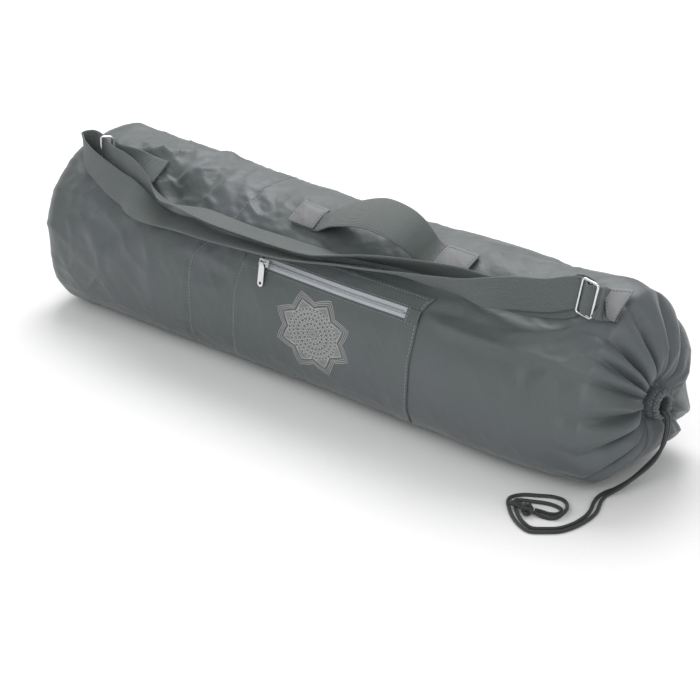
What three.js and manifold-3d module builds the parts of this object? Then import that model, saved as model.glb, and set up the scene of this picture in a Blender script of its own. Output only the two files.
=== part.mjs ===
// Yoga mat bag: a long soft tube with a flat base at one end and a gathered drawstring mouth at the
// other, a front pocket with a zip, a carry handle and an adjustable shoulder strap.
// Millimetres, +Z up. X runs along the bag with the mouth at +X, and the pocket faces -Y.
// The origin is under the middle of the bag, on the surface that it lies on.
import * as THREE from 'three';
import * as BufferGeometryUtils from 'three/addons/utils/BufferGeometryUtils.js';
import Module from 'manifold-3d';

// Driving sizes of the bag
const BAG_WIDTH = 172;
const BAG_HEIGHT = 178;
const TUBE_LENGTH = 664;
const BASE_DEPTH = 30;
const MOUTH_DEPTH = 28;
const MOUTH_RADIUS = 8.5;
const MOUTH_HEIGHT = 79;
const COLLAR_REACH = 7;
const COLLAR_WALL = 4;
const CLOTH = 1.5;

// Driving sizes of the trims
const GAP = 0.3;
const SEAT = 0.6;
const SHEET = 1.2;
const WEBBING_WIDTH = 30;
const WEBBING_THICK = 1.7;
const COIL_WIDTH = 2;
const COIL_THICK = 1.5;
const TAPE_WIDTH = 6.4;
const ZIP_SLIDER_LENGTH = 12;
const ZIP_SLIDER_WIDTH = 7;
const ZIP_SLIDER_THICK = 2;
const BRIDGE_RADIUS = 0.7;
const BRIDGE_RISE = 2.2;
const PULL_LENGTH = 24;
const PULL_WIDTH = 7;
const PULL_THICK = 1;
const PULL_HOLE = 1.6;
const WIRE = 2.4;
const WIRE_DEPTH = 1.8;
const BUCKLE_LENGTH = 18;
const RING_LENGTH = 13;
const CORD = 3.5;

// How the section of the tube is drawn
const MIDDLE_SHARE = 0.43;
const TOP_POWER = 2.2;
const BOTTOM_POWER = 2.9;
const SETTLE = 2;
const HALF_TURN = 180;

// Width and height of the tube along its length, as shares of TUBE_LENGTH, BAG_WIDTH and BAG_HEIGHT
const STATIONS = [
  { along: 0.0, wide: 1.0, high: 0.99 },
  { along: 0.108, wide: 1.0, high: 1.045 },
  { along: 0.259, wide: 0.977, high: 1.017 },
  { along: 0.41, wide: 0.959, high: 1.0 },
  { along: 0.59, wide: 0.977, high: 0.983 },
  { along: 0.741, wide: 1.029, high: 0.994 },
  { along: 0.892, wide: 1.047, high: 0.966 },
  { along: 1.0, wide: 0.988, high: 0.938 },
];

// Dents (rise below 0) and humps of the cloth; long, wide and rise are shares of BAG_HEIGHT,
// around is the angle from the crown towards the front
const FOLDS = [
  { name: 'hump under the strap patch', along: 0.976, around: -6, long: 0.29, wide: 0.17, rise: 0.079 },
  { name: 'furrow behind the strap', along: 0.211, around: 40, long: 0.27, wide: 0.14, rise: -0.073 },
  { name: 'dent by the ring', along: 0.075, around: 31, long: 0.19, wide: 0.112, rise: -0.05 },
  { name: 'furrow behind the buckle', along: 0.875, around: 34, long: 0.38, wide: 0.12, rise: -0.056 },
  { name: 'corner of the base', along: 0.015, around: -18, long: 0.146, wide: 0.135, rise: 0.05 },
  { name: 'lifted edge at the mouth', along: 1.01, around: 180, long: 0.34, wide: 0.35, rise: -0.079 },
];

// The base: each ring's size as a share of the section, and how far out it stands of BASE_DEPTH
const BASE_RINGS = [
  { reach: 0.3, out: 0.985 },
  { reach: 0.66, out: 0.86 },
  { reach: 0.86, out: 0.62 },
  { reach: 0.96, out: 0.31 },
];

// The gathered end: size and depth of each ring, and how deep its pleats are, of MOUTH_DEPTH
const MOUTH_RINGS = [
  { reach: 0.985, out: 0.11, pleat: 0.03 },
  { reach: 0.93, out: 0.3, pleat: 0.1 },
  { reach: 0.84, out: 0.52, pleat: 0.18 },
  { reach: 0.7, out: 0.76, pleat: 0.27 },
  { reach: 0.54, out: 0.95, pleat: 0.31 },
  { reach: 0.39, out: 0.99, pleat: 0.25 },
  { reach: 0.26, out: 0.84, pleat: 0.12 },
  { reach: 0.17, out: 0.7, pleat: 0.03 },
];

// Valleys between the pleats, as angles around the mouth
const PLEAT_VALLEYS = [-156, -122, -88, -45, -16, 8, 31, 46, 60, 84, 99, 126, 158];
const STEPS_PER_PLEAT = 4;

// Places of the rings of the tube, as shares of TUBE_LENGTH
const TUBE_RINGS = [
  0, 0.03, 0.06, 0.09, 0.125, 0.165, 0.2, 0.24, 0.31, 0.4, 0.5, 0.6,
  0.7, 0.79, 0.85, 0.89, 0.925, 0.96, 1,
];

// Materials
const CLOTH_LOOK = { color: 0x5b6363, roughness: 0.55, metalness: 0 };
const SHEEN_LOOK = { color: 0x8a8f90, roughness: 0.5, metalness: 0 };
const WEBBING_LOOK = { color: 0x66706f, roughness: 0.7, metalness: 0 };
const TAPE_LOOK = { color: 0xb5babd, roughness: 0.6, metalness: 0 };
const METAL_LOOK = { color: 0xc9ccce, roughness: 0.25, metalness: 1 };
const CORD_LOOK = { color: 0x2a2f2f, roughness: 0.7, metalness: 0 };

const bag = new THREE.Group();
const wasm = await Module();
wasm.setup();

function addPiece(name, geometry, look, parent = bag) {
  const mesh = new THREE.Mesh(geometry, new THREE.MeshStandardMaterial(look));
  mesh.name = name;
  parent.add(mesh);
  return mesh;
}

// Smooth value of one column of a table, by the row column named by key
function smoothed(table, column, at, key = 'along') {
  const place = THREE.MathUtils.clamp(at, table[0][key], table[table.length - 1][key]);
  let i = 0;
  while (i < table.length - 2 && place > table[i + 1][key]) i += 1;
  const slope = (k) => {
    const before = table[Math.max(k - 1, 0)];
    const after = table[Math.min(k + 1, table.length - 1)];
    return (after[column] - before[column]) / (after[key] - before[key]);
  };
  const span = table[i + 1][key] - table[i][key];
  const t = (place - table[i][key]) / span;
  const rise = table[i + 1][column] - table[i][column];
  const start = slope(i) * span;
  const end = slope(i + 1) * span;
  return table[i][column] + start * t + (3 * rise - 2 * start - end) * t * t
    + (start + end - 2 * rise) * t * t * t;
}

// Point of the plain section, without folds, in the plane across the bag
function sectionPoint(along, around) {
  const wide = BAG_WIDTH * smoothed(STATIONS, 'wide', along);
  const high = BAG_HEIGHT * smoothed(STATIONS, 'high', along);
  const angle = THREE.MathUtils.degToRad(around);
  const up = Math.cos(angle);
  const out = Math.sin(angle);
  const middle = MIDDLE_SHARE * high;
  const power = up >= 0 ? TOP_POWER : BOTTOM_POWER;
  const reach = up >= 0 ? high - middle : middle;
  return {
    y: -wide / 2 * Math.sign(out) * Math.abs(out) ** (2 / power),
    z: middle + Math.sign(up) * reach * Math.abs(up) ** (2 / power) - SETTLE,
  };
}

// Height of the folds over the plain section
function foldRise(along, around) {
  let rise = 0;
  for (const fold of FOLDS) {
    const past = THREE.MathUtils.euclideanModulo(around - fold.around + HALF_TURN, 2 * HALF_TURN);
    const turned = past - HALF_TURN;
    const down = (along - fold.along) * TUBE_LENGTH / (fold.long * BAG_HEIGHT);
    const across = THREE.MathUtils.degToRad(turned) / 2 / fold.wide;
    rise += fold.rise * BAG_HEIGHT * Math.exp(-down * down - across * across);
  }
  return rise;
}

// The two directions across the bag at a place: round towards the front, and outward
function skinFrame(along, around) {
  const before = sectionPoint(along, around - 0.1);
  const after = sectionPoint(along, around + 0.1);
  const round = new THREE.Vector3(0, after.y - before.y, after.z - before.z).normalize();
  return { round, outward: new THREE.Vector3(0, round.z, -round.y) };
}

// Point lifted off the plain section, which has no folds
function plainPoint(along, around, lift) {
  const { y, z } = sectionPoint(along, around);
  const { outward } = skinFrame(along, around);
  const point = new THREE.Vector3((along - 0.5) * TUBE_LENGTH, y, Math.max(z, 0));
  return point.addScaledVector(outward, lift);
}

// Point of the cloth, lifted off it by lift
function skinPoint(along, around, lift = 0) {
  return plainPoint(along, around, lift + foldRise(along, around));
}

// Closed mesh of rings joined one after another, with a middle point before and after them
function closedRings(rings, first, last) {
  const count = rings[0].length;
  const points = [first, ...rings.flat(), last];
  const index = [];
  const at = (ring, step) => 1 + ring * count + (step % count);
  for (let step = 0; step < count; step += 1) {
    index.push(0, at(0, step + 1), at(0, step));
    index.push(points.length - 1, at(rings.length - 1, step), at(rings.length - 1, step + 1));
    for (let ring = 0; ring < rings.length - 1; ring += 1) {
      index.push(at(ring, step), at(ring, step + 1), at(ring + 1, step + 1));
      index.push(at(ring, step), at(ring + 1, step + 1), at(ring + 1, step));
    }
  }
  return outwardMesh(points, index);
}

function outwardMesh(points, index) {
  const geometry = new THREE.BufferGeometry().setFromPoints(points);
  let volume = 0;
  for (let i = 0; i < index.length; i += 3) {
    const [a, b, c] = [points[index[i]], points[index[i + 1]], points[index[i + 2]]];
    volume += a.dot(new THREE.Vector3().crossVectors(b, c));
  }
  geometry.setIndex(volume < 0 ? index.slice().reverse() : index);
  return geometry;
}

// Closed slab between a low grid and a high grid of points
function slab(low, high) {
  const rows = low.length;
  const columns = low[0].length;
  const points = [...low.flat(), ...high.flat()];
  const top = rows * columns;
  const index = [];
  const face = (a, b, c, d) => index.push(a, b, c, a, c, d);
  for (let r = 0; r < rows - 1; r += 1) {
    for (let c = 0; c < columns - 1; c += 1) {
      const a = r * columns + c;
      face(a, a + 1, a + columns + 1, a + columns);
      face(top + a, top + a + columns, top + a + columns + 1, top + a + 1);
    }
    const left = r * columns;
    const right = left + columns - 1;
    face(left, left + columns, top + left + columns, top + left);
    face(right, top + right, top + right + columns, right + columns);
  }
  for (let c = 0; c < columns - 1; c += 1) {
    const end = (rows - 1) * columns + c;
    face(c, top + c, top + c + 1, c + 1);
    face(end, end + 1, top + end + 1, top + end);
  }
  return outwardMesh(points, index);
}

// Sheet on the cloth: place(u, v) gives along and around for u and v from 0 to 1
function sheetOnSkin(place, stepsU, stepsV, seat, thick) {
  const grid = (lift) => {
    const rows = [];
    for (let i = 0; i <= stepsU; i += 1) {
      const row = [];
      for (let j = 0; j <= stepsV; j += 1) {
        const { along, around } = place(i / stepsU, j / stepsV);
        row.push(skinPoint(along, around, lift));
      }
      rows.push(row);
    }
    return rows;
  };
  return slab(grid(seat), grid(seat + thick));
}

// Four corners make a sheet: the near edge from a to b, the far edge from d to c
function cornerPlace(corners) {
  const { lerp } = THREE.MathUtils;
  return (u, v) => ({
    along: lerp(lerp(corners.a.along, corners.b.along, u), lerp(corners.d.along, corners.c.along, u), v),
    around: lerp(
      lerp(corners.a.around, corners.b.around, u),
      lerp(corners.d.around, corners.c.around, u),
      v,
    ),
  });
}

// Flat webbing through rows of edge points a and b
function webbing(rows, stepsPerRow = 2) {
  const edgeA = new THREE.CatmullRomCurve3(rows.map((row) => row.a));
  const edgeB = new THREE.CatmullRomCurve3(rows.map((row) => row.b));
  const steps = (rows.length - 1) * stepsPerRow;
  const middles = [];
  const sides = [];
  for (let i = 0; i <= steps; i += 1) {
    const a = edgeA.getPoint(i / steps);
    const b = edgeB.getPoint(i / steps);
    middles.push(new THREE.Vector3().addVectors(a, b).multiplyScalar(0.5));
    sides.push(new THREE.Vector3().subVectors(b, a).normalize());
  }
  const low = [];
  const high = [];
  middles.forEach((middle, i) => {
    const next = middles[Math.min(i + 1, steps)];
    const path = new THREE.Vector3().subVectors(next, middles[Math.max(i - 1, 0)]).normalize();
    const normal = new THREE.Vector3().crossVectors(path, sides[i]).normalize();
    const across = new THREE.Vector3().crossVectors(normal, path).normalize();
    const corner = (side, rise) => middle.clone()
      .addScaledVector(across, side * WEBBING_WIDTH / 2)
      .addScaledVector(normal, rise * WEBBING_THICK / 2);
    low.push([corner(-1, -1), corner(1, -1)]);
    high.push([corner(-1, 1), corner(1, 1)]);
  });
  return slab(low, high);
}

// Edge points of webbing whose middle is lifted off the plain section and whose width is tilted off it
function webbingRow({ along, around, lift, tilt }) {
  const middle = plainPoint(along, around, lift);
  const { round, outward } = skinFrame(along, around);
  const angle = THREE.MathUtils.degToRad(tilt);
  const side = round.multiplyScalar(Math.cos(angle)).addScaledVector(outward, Math.sin(angle));
  return {
    a: middle.clone().addScaledVector(side, -WEBBING_WIDTH / 2),
    b: middle.clone().addScaledVector(side, WEBBING_WIDTH / 2),
  };
}

// The same where the webbing is sewn down, so that it follows the folds of the cloth
function sewnRow({ along, around, lift, tilt }) {
  return webbingRow({ along, around, lift: lift + foldRise(along, around), tilt });
}

// Joined solid of closed geometries
function joined(geometries) {
  const solids = geometries.map((geometry) => {
    const bare = geometry.clone();
    for (const name of Object.keys(bare.attributes)) {
      if (name !== 'position') bare.deleteAttribute(name);
    }
    const merged = BufferGeometryUtils.mergeVertices(bare);
    return new wasm.Manifold(new wasm.Mesh({
      numProp: 3,
      vertProperties: new Float32Array(merged.attributes.position.array),
      triVerts: new Uint32Array(merged.index.array),
    }));
  });
  const whole = solids.slice(1).reduce((sum, solid) => sum.add(solid), solids[0]).getMesh();
  const geometry = new THREE.BufferGeometry();
  geometry.setAttribute('position', new THREE.BufferAttribute(whole.vertProperties, 3));
  geometry.setIndex(new THREE.BufferAttribute(whole.triVerts, 1));
  return geometry;
}

// Group whose own x, y and z run along the given directions from a point
function seated(origin, xAxis, yAxis, zAxis) {
  const group = new THREE.Group();
  group.position.copy(origin);
  group.quaternion.setFromRotationMatrix(new THREE.Matrix4().makeBasis(xAxis, yAxis, zAxis));
  bag.add(group);
  return group;
}

// The bag itself: base, tube, pleated end and collar, with the same wall inside
function pleatAngles() {
  const angles = [];
  PLEAT_VALLEYS.forEach((valley, i) => {
    const next = i + 1 < PLEAT_VALLEYS.length ? PLEAT_VALLEYS[i + 1] : PLEAT_VALLEYS[0] + 2 * HALF_TURN;
    for (let step = 0; step < STEPS_PER_PLEAT; step += 1) {
      const share = step / STEPS_PER_PLEAT;
      const crest = (1 - Math.cos(2 * Math.PI * share)) / 2;
      angles.push({ around: valley + (next - valley) * share, crest });
    }
  });
  return angles;
}

function capRing(angles, end, reach, x, pleat, centre) {
  return angles.map(({ around, crest }) => {
    const rim = skinPoint(end, around);
    const point = new THREE.Vector3(x, rim.y * reach, centre + (rim.z - centre) * reach);
    point.x -= pleat * (0.75 - 1.1 * crest);
    return point;
  });
}

function outerRings(angles) {
  const left = -TUBE_LENGTH / 2;
  const right = TUBE_LENGTH / 2;
  const middle = MIDDLE_SHARE * BAG_HEIGHT;
  const rings = BASE_RINGS.map(({ reach, out }) => (
    capRing(angles, 0, reach, left - BASE_DEPTH * out, 0, middle)
  ));
  for (const along of TUBE_RINGS) {
    rings.push(angles.map(({ around }) => skinPoint(along, around)));
  }
  for (const { reach, out, pleat } of MOUTH_RINGS) {
    const centre = THREE.MathUtils.lerp(MOUTH_HEIGHT, middle, reach);
    rings.push(capRing(angles, 1, reach, right + MOUTH_DEPTH * out, MOUTH_DEPTH * pleat, centre));
  }
  return rings;
}

function insetRings(rings) {
  const count = rings[0].length;
  const cap = Math.floor(count / 2);
  return rings.map((ring, i) => ring.map((point, step) => {
    const before = rings[Math.max(i - 1, 0)][step];
    const after = rings[Math.min(i + 1, rings.length - 1)][step];
    const along = new THREE.Vector3().subVectors(after, before);
    const next = ring[(step + 1) % count];
    const around = new THREE.Vector3().subVectors(next, ring[(step + count - 1) % count]);
    const inward = new THREE.Vector3().crossVectors(along, around).normalize();
    const middle = ring[(step + cap) % count];
    const towards = new THREE.Vector3().subVectors(middle, point);
    if (Math.abs(inward.x) < 0.6 && inward.dot(towards) < 0) inward.negate();
    return point.clone().addScaledVector(inward, CLOTH);
  }));
}

function collarRing(angles, radius, x) {
  return angles.map(({ around }) => {
    const angle = THREE.MathUtils.degToRad(around);
    return new THREE.Vector3(x, -radius * Math.sin(angle), MOUTH_HEIGHT + radius * Math.cos(angle));
  });
}

function bagBody() {
  const angles = pleatAngles();
  const outer = outerRings(angles);
  const inner = insetRings(outer);
  const lip = TUBE_LENGTH / 2 + MOUTH_DEPTH;
  const collar = [
    collarRing(angles, MOUTH_RADIUS + COLLAR_WALL, lip - COLLAR_REACH / 3),
    collarRing(angles, MOUTH_RADIUS + COLLAR_WALL, lip + COLLAR_REACH - 2),
    collarRing(angles, MOUTH_RADIUS + COLLAR_WALL / 2, lip + COLLAR_REACH),
    collarRing(angles, MOUTH_RADIUS, lip + COLLAR_REACH - 2),
    collarRing(angles, MOUTH_RADIUS, lip - COLLAR_REACH),
  ];
  const base = -TUBE_LENGTH / 2 - BASE_DEPTH;
  const middle = MIDDLE_SHARE * BAG_HEIGHT;
  return closedRings(
    [...outer, ...collar, ...inner.reverse()],
    new THREE.Vector3(base, 0, middle),
    new THREE.Vector3(base + CLOTH, 0, middle),
  );
}

// Front pocket: panel under the zip, band over it, two tapes and the coil
const POCKET_LEFT = [
  { around: 55, along: 0.404 },
  { around: 75, along: 0.387 },
  { around: 95, along: 0.38 },
  { around: 132, along: 0.372 },
];
const POCKET_RIGHT = [
  { around: 46, along: 0.744 },
  { around: 54, along: 0.731 },
  { around: 76, along: 0.727 },
  { around: 132, along: 0.709 },
];
const ZIP_AROUND = 60.6;

function angleFor(length) {
  return THREE.MathUtils.radToDeg(2 * length / BAG_HEIGHT);
}

function pocketPlace(from, to) {
  return (u, v) => {
    const around = THREE.MathUtils.lerp(from, to, v);
    const left = smoothed(POCKET_LEFT, 'along', around, 'around');
    const right = smoothed(POCKET_RIGHT, 'along', around, 'around');
    return { along: THREE.MathUtils.lerp(left, right, u), around };
  };
}

function pocket() {
  const coil = angleFor(COIL_WIDTH / 2);
  const gap = angleFor(GAP + 0.1);
  const tape = angleFor(TAPE_WIDTH);
  const upper = ZIP_AROUND - coil - gap;
  const lower = ZIP_AROUND + coil + gap;
  const sheets = [
    { name: 'pocket_band', from: 47.3, to: upper - tape - gap, rows: 2, look: CLOTH_LOOK },
    { name: 'zip_tape_upper', from: upper - tape, to: upper, rows: 1, look: TAPE_LOOK },
    { name: 'zip_tape_lower', from: lower, to: lower + tape, rows: 1, look: TAPE_LOOK },
    { name: 'pocket_panel', from: lower + tape + gap, to: 132, rows: 10, look: CLOTH_LOOK },
  ];
  for (const { name, from, to, rows, look } of sheets) {
    addPiece(name, sheetOnSkin(pocketPlace(from, to), 12, rows, SEAT, SHEET), look);
  }
  const coilPlace = pocketPlace(ZIP_AROUND - coil, ZIP_AROUND + coil);
  addPiece('zip_coil', sheetOnSkin(coilPlace, 12, 1, SEAT, COIL_THICK), METAL_LOOK);
}

// Zip slider with a bridge along the zip, and the pull whose eye goes round the bridge
const SLIDER_ALONG = 0.4377;
const SLIDER_LIFT = SEAT + COIL_THICK + GAP + 0.2;
const PULL_LEAN = -15;

function cylinderAlongX(radius, length, x, z) {
  const geometry = new THREE.CylinderGeometry(radius, radius, length, 10);
  geometry.rotateZ(Math.PI / 2);
  return geometry.translate(x, 0, z);
}

function zipSlider() {
  const { round, outward } = skinFrame(SLIDER_ALONG, ZIP_AROUND);
  const origin = skinPoint(SLIDER_ALONG, ZIP_AROUND, SLIDER_LIFT);
  const across = round.clone().negate();
  const group = seated(origin, new THREE.Vector3(1, 0, 0), across, outward);
  const bridge = ZIP_SLIDER_THICK + BRIDGE_RISE;
  const post = PULL_WIDTH / 2 - 0.4;
  const body = new THREE.BoxGeometry(ZIP_SLIDER_LENGTH, ZIP_SLIDER_WIDTH, ZIP_SLIDER_THICK);
  body.translate(0, 0, ZIP_SLIDER_THICK / 2);
  const pieces = [body, cylinderAlongX(BRIDGE_RADIUS, 2 * post + 1, 0, bridge)];
  for (const side of [-1, 1]) {
    const leg = new THREE.BoxGeometry(1, 1, BRIDGE_RISE + BRIDGE_RADIUS + 0.2);
    leg.translate(side * post, 0, ZIP_SLIDER_THICK + (BRIDGE_RISE + BRIDGE_RADIUS - 0.2) / 2);
    pieces.push(leg);
  }
  addPiece('zip_slider', joined(pieces), METAL_LOOK, group);
  const hinge = new THREE.Group();
  hinge.position.z = bridge;
  hinge.rotation.x = THREE.MathUtils.degToRad(-PULL_LEAN);
  group.add(hinge);
  addPiece('zip_pull', zipPull(), METAL_LOOK, hinge);
}

// The pull lies in its own x and y, and hangs towards its -y
function zipPull() {
  const outline = new THREE.Shape();
  const half = PULL_WIDTH / 2;
  const neck = half - 1.6;
  outline.moveTo(-neck, -1.4);
  outline.lineTo(-half, -4.5);
  outline.lineTo(-half, -PULL_LENGTH + half);
  outline.absarc(0, -PULL_LENGTH + half, half, Math.PI, 2 * Math.PI, false);
  outline.lineTo(half, -4.5);
  outline.lineTo(neck, -1.4);
  outline.closePath();
  const hole = new THREE.Path();
  hole.absarc(0, -PULL_LENGTH + half, PULL_HOLE, 0, 2 * Math.PI, true);
  outline.holes.push(hole);
  const settings = { depth: PULL_THICK, bevelEnabled: false, curveSegments: 8 };
  const plate = new THREE.ExtrudeGeometry(outline, settings);
  plate.translate(0, 0, -PULL_THICK / 2);
  const eye = new THREE.Shape();
  eye.absarc(0, 0, BRIDGE_RADIUS + GAP + 0.8, 0, 2 * Math.PI, false);
  const bore = new THREE.Path();
  bore.absarc(0, 0, BRIDGE_RADIUS + GAP, 0, 2 * Math.PI, true);
  eye.holes.push(bore);
  const barrel = new THREE.ExtrudeGeometry(eye, { depth: 2 * neck, bevelEnabled: false, curveSegments: 8 });
  barrel.rotateY(Math.PI / 2);
  barrel.translate(-neck, 0, 0);
  return joined([plate, barrel]);
}

// Carry handle: webbing that lies on the cloth at both ends and arches between them
const HANDLE_AROUND = 21;
const HANDLE_ARCH = [
  { along: 0.450, lift: 0.3 },
  { along: 0.470, lift: 0.3 },
  { along: 0.488, lift: 0.5 },
  { along: 0.500, lift: 2.2 },
  { along: 0.516, lift: 8.5 },
  { along: 0.536, lift: 17.5 },
  { along: 0.562, lift: 25.5 },
  { along: 0.587, lift: 32 },
  { along: 0.607, lift: 35 },
  { along: 0.630, lift: 34 },
  { along: 0.652, lift: 30 },
  { along: 0.669, lift: 23 },
  { along: 0.682, lift: 13 },
  { along: 0.692, lift: 4.2 },
  { along: 0.700, lift: 0.9 },
  { along: 0.714, lift: 0.3 },
  { along: 0.740, lift: 0.3 },
  { along: 0.760, lift: 0.3 },
];
const HANDLE_PATCHES = [
  { name: 'handle_patch_left', from: 0.443, to: 0.492, centre: 21.4 },
  { name: 'handle_patch_right', from: 0.709, to: 0.764, centre: 20.2 },
];

// Webbing bent to the round of the bag: one curve for each edge and one for the middle
function roundedWebbing(table, around) {
  const half = angleFor(WEBBING_WIDTH / 2);
  const curves = [-half, 0, half].map((turn) => new THREE.CatmullRomCurve3(
    table.map(({ along, lift }) => skinPoint(along, around + turn, lift + SEAT + WEBBING_THICK / 2)),
  ));
  const steps = 2 * (table.length - 1);
  const low = [];
  const high = [];
  for (let i = 0; i <= steps; i += 1) {
    const points = curves.map((curve) => curve.getPoint(i / steps));
    const paths = curves.map((curve) => curve.getTangent(i / steps));
    const normals = points.map((point, k) => {
      const across = new THREE.Vector3().subVectors(points[Math.min(k + 1, 2)], points[Math.max(k - 1, 0)]);
      return new THREE.Vector3().crossVectors(across, paths[k]).setLength(WEBBING_THICK / 2);
    });
    low.push(points.map((point, k) => point.clone().sub(normals[k])));
    high.push(points.map((point, k) => point.clone().add(normals[k])));
  }
  return slab(low, high);
}

function carryHandle() {
  addPiece('carry_handle', roundedWebbing(HANDLE_ARCH, HANDLE_AROUND), WEBBING_LOOK);
  const half = angleFor(WEBBING_WIDTH / 2 - 1);
  for (const { name, from, to, centre } of HANDLE_PATCHES) {
    const place = cornerPlace({
      a: { along: from, around: centre - half },
      b: { along: to, around: centre - half },
      c: { along: to, around: centre + half },
      d: { along: from, around: centre + half },
    });
    addPiece(name, sheetOnSkin(place, 4, 4, SEAT + WEBBING_THICK + 1.2, SHEET), SHEEN_LOOK);
  }
}

// Strap patch near the mouth, over the sewn end of the shoulder strap
const PATCH_CORNERS = {
  a: { along: 0.993, around: 23 },
  b: { along: 1.006, around: 24 },
  c: { along: 1.003, around: 3.5 },
  d: { along: 0.965, around: 9 },
};

// Frame of the strap buckle: its centre, the way that the strap runs through it and its width
const BUCKLE_CENTRE = { along: 0.9652, side: -0.25291, high: 1.00562 };
const BUCKLE_PATH = new THREE.Vector3(0.98, 0, -0.2).normalize();
const BUCKLE_ACROSS = new THREE.Vector3(-0.2, 0, -0.98).normalize();
const BUCKLE_FACE = new THREE.Vector3(0, -1, 0);

// Point given by shares of the bag's length, width and height
function sharePoint({ along, side, high }) {
  return new THREE.Vector3((along - 0.5) * TUBE_LENGTH, side * BAG_WIDTH, high * BAG_HEIGHT);
}

function buckleRow({ path, face }) {
  const middle = sharePoint(BUCKLE_CENTRE)
    .addScaledVector(BUCKLE_PATH, path)
    .addScaledVector(BUCKLE_FACE, face);
  return {
    a: middle.clone().addScaledVector(BUCKLE_ACROSS, -WEBBING_WIDTH / 2),
    b: middle.clone().addScaledVector(BUCKLE_ACROSS, WEBBING_WIDTH / 2),
  };
}

// Wire frame with one window, or two with a bar between them: length along its x, width along its y
function wireFrame(length, width, middleBar) {
  const outline = new THREE.Shape();
  const halfLength = length / 2;
  const halfWidth = width / 2;
  const round = WIRE * 1.3;
  outline.absarc(halfLength - round, -halfWidth + round, round, -Math.PI / 2, 0, false);
  outline.absarc(halfLength - round, halfWidth - round, round, 0, Math.PI / 2, false);
  outline.absarc(-halfLength + round, halfWidth - round, round, Math.PI / 2, Math.PI, false);
  outline.absarc(-halfLength + round, -halfWidth + round, round, Math.PI, 1.5 * Math.PI, false);
  const window = new THREE.Path();
  window.moveTo(-halfLength + WIRE, -halfWidth + WIRE);
  window.lineTo(-halfLength + WIRE, halfWidth - WIRE);
  window.lineTo(halfLength - WIRE, halfWidth - WIRE);
  window.lineTo(halfLength - WIRE, -halfWidth + WIRE);
  outline.holes.push(window);
  const settings = { depth: WIRE_DEPTH, bevelEnabled: false, curveSegments: 3 };
  const frame = new THREE.ExtrudeGeometry(outline, settings);
  frame.translate(0, 0, -WIRE_DEPTH / 2);
  if (!middleBar) return frame;
  const barRadius = WIRE_DEPTH * 0.48;
  return joined([frame, new THREE.CylinderGeometry(barRadius, barRadius, width - WIRE, 12)]);
}

// The strap from its patch through the buckle and along the front to the ring
const FRONT_RUN = [
  { along: 0.904, around: 25.5, lift: 12.3, tilt: -46 },
  { along: 0.864, around: 31.2, lift: 14.1, tilt: -43 },
  { along: 0.833, around: 37.0, lift: 18.0, tilt: -53 },
  { along: 0.804, around: 40.2, lift: 21.9, tilt: -77 },
  { along: 0.770, around: 41.2, lift: 21.5, tilt: -91 },
  { along: 0.723, around: 43.2, lift: 21.1, tilt: -97 },
  { along: 0.681, around: 43.8, lift: 18.7, tilt: -108 },
  { along: 0.636, around: 44.8, lift: 17.3, tilt: -115 },
  { along: 0.586, around: 47.5, lift: 18.0, tilt: -111 },
  { along: 0.533, around: 51.0, lift: 17.8, tilt: -109 },
  { along: 0.483, around: 53.2, lift: 17.8, tilt: -111 },
  { along: 0.423, around: 54.5, lift: 17.9, tilt: -113 },
  { along: 0.343, around: 55.5, lift: 16.5, tilt: -118 },
  { along: 0.290, around: 55.2, lift: 15.5, tilt: -124 },
];

// Left part of the strap, where it stands up, turns round the ring's near bar and comes back.
// Shares of TUBE_LENGTH, BAG_WIDTH and BAG_HEIGHT
const TURN_ROWS = [
  { along: 0.241, side: -0.4651, high: 0.7949, rise: 8 },
  { along: 0.206, side: -0.4797, high: 0.8202, rise: 25 },
  { along: 0.183, side: -0.4738, high: 0.8483, rise: 44 },
  { along: 0.157, side: -0.4419, high: 0.8708, rise: 62 },
  { along: 0.132, side: -0.4244, high: 0.8820, rise: 70 },
  { along: 0.104, side: -0.4099, high: 0.9101, rise: 79 },
  { along: 0.078, side: -0.3924, high: 0.9354, rise: 86 },
  { along: 0.054, side: -0.3692, high: 0.9607, rise: 89 },
  { along: 0.036, side: -0.3372, high: 0.9860, rise: 90 },
  { along: 0.026, side: -0.2936, high: 1.0000, rise: 90 },
  { along: 0.035, side: -0.2587, high: 1.0084, rise: 90 },
  { along: 0.054, side: -0.2674, high: 1.0112, rise: 90 },
  { along: 0.079, side: -0.3110, high: 1.0056, rise: 90 },
  { along: 0.104, side: -0.3488, high: 0.9944, rise: 91 },
  { along: 0.132, side: -0.3605, high: 0.9831, rise: 92 },
  { along: 0.161, side: -0.3750, high: 0.9579, rise: 95 },
  { along: 0.188, side: -0.3866, high: 0.9213, rise: 110 },
  { along: 0.214, side: -0.3924, high: 0.8933, rise: 136 },
  { along: 0.241, side: -0.4244, high: 0.8792, rise: 150 },
  { along: 0.274, side: -0.4419, high: 0.8961, rise: 160 },
  { along: 0.307, side: -0.4477, high: 0.8989, rise: 170 },
  { along: 0.352, side: -0.4564, high: 0.8904, rise: 174 },
];
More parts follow.
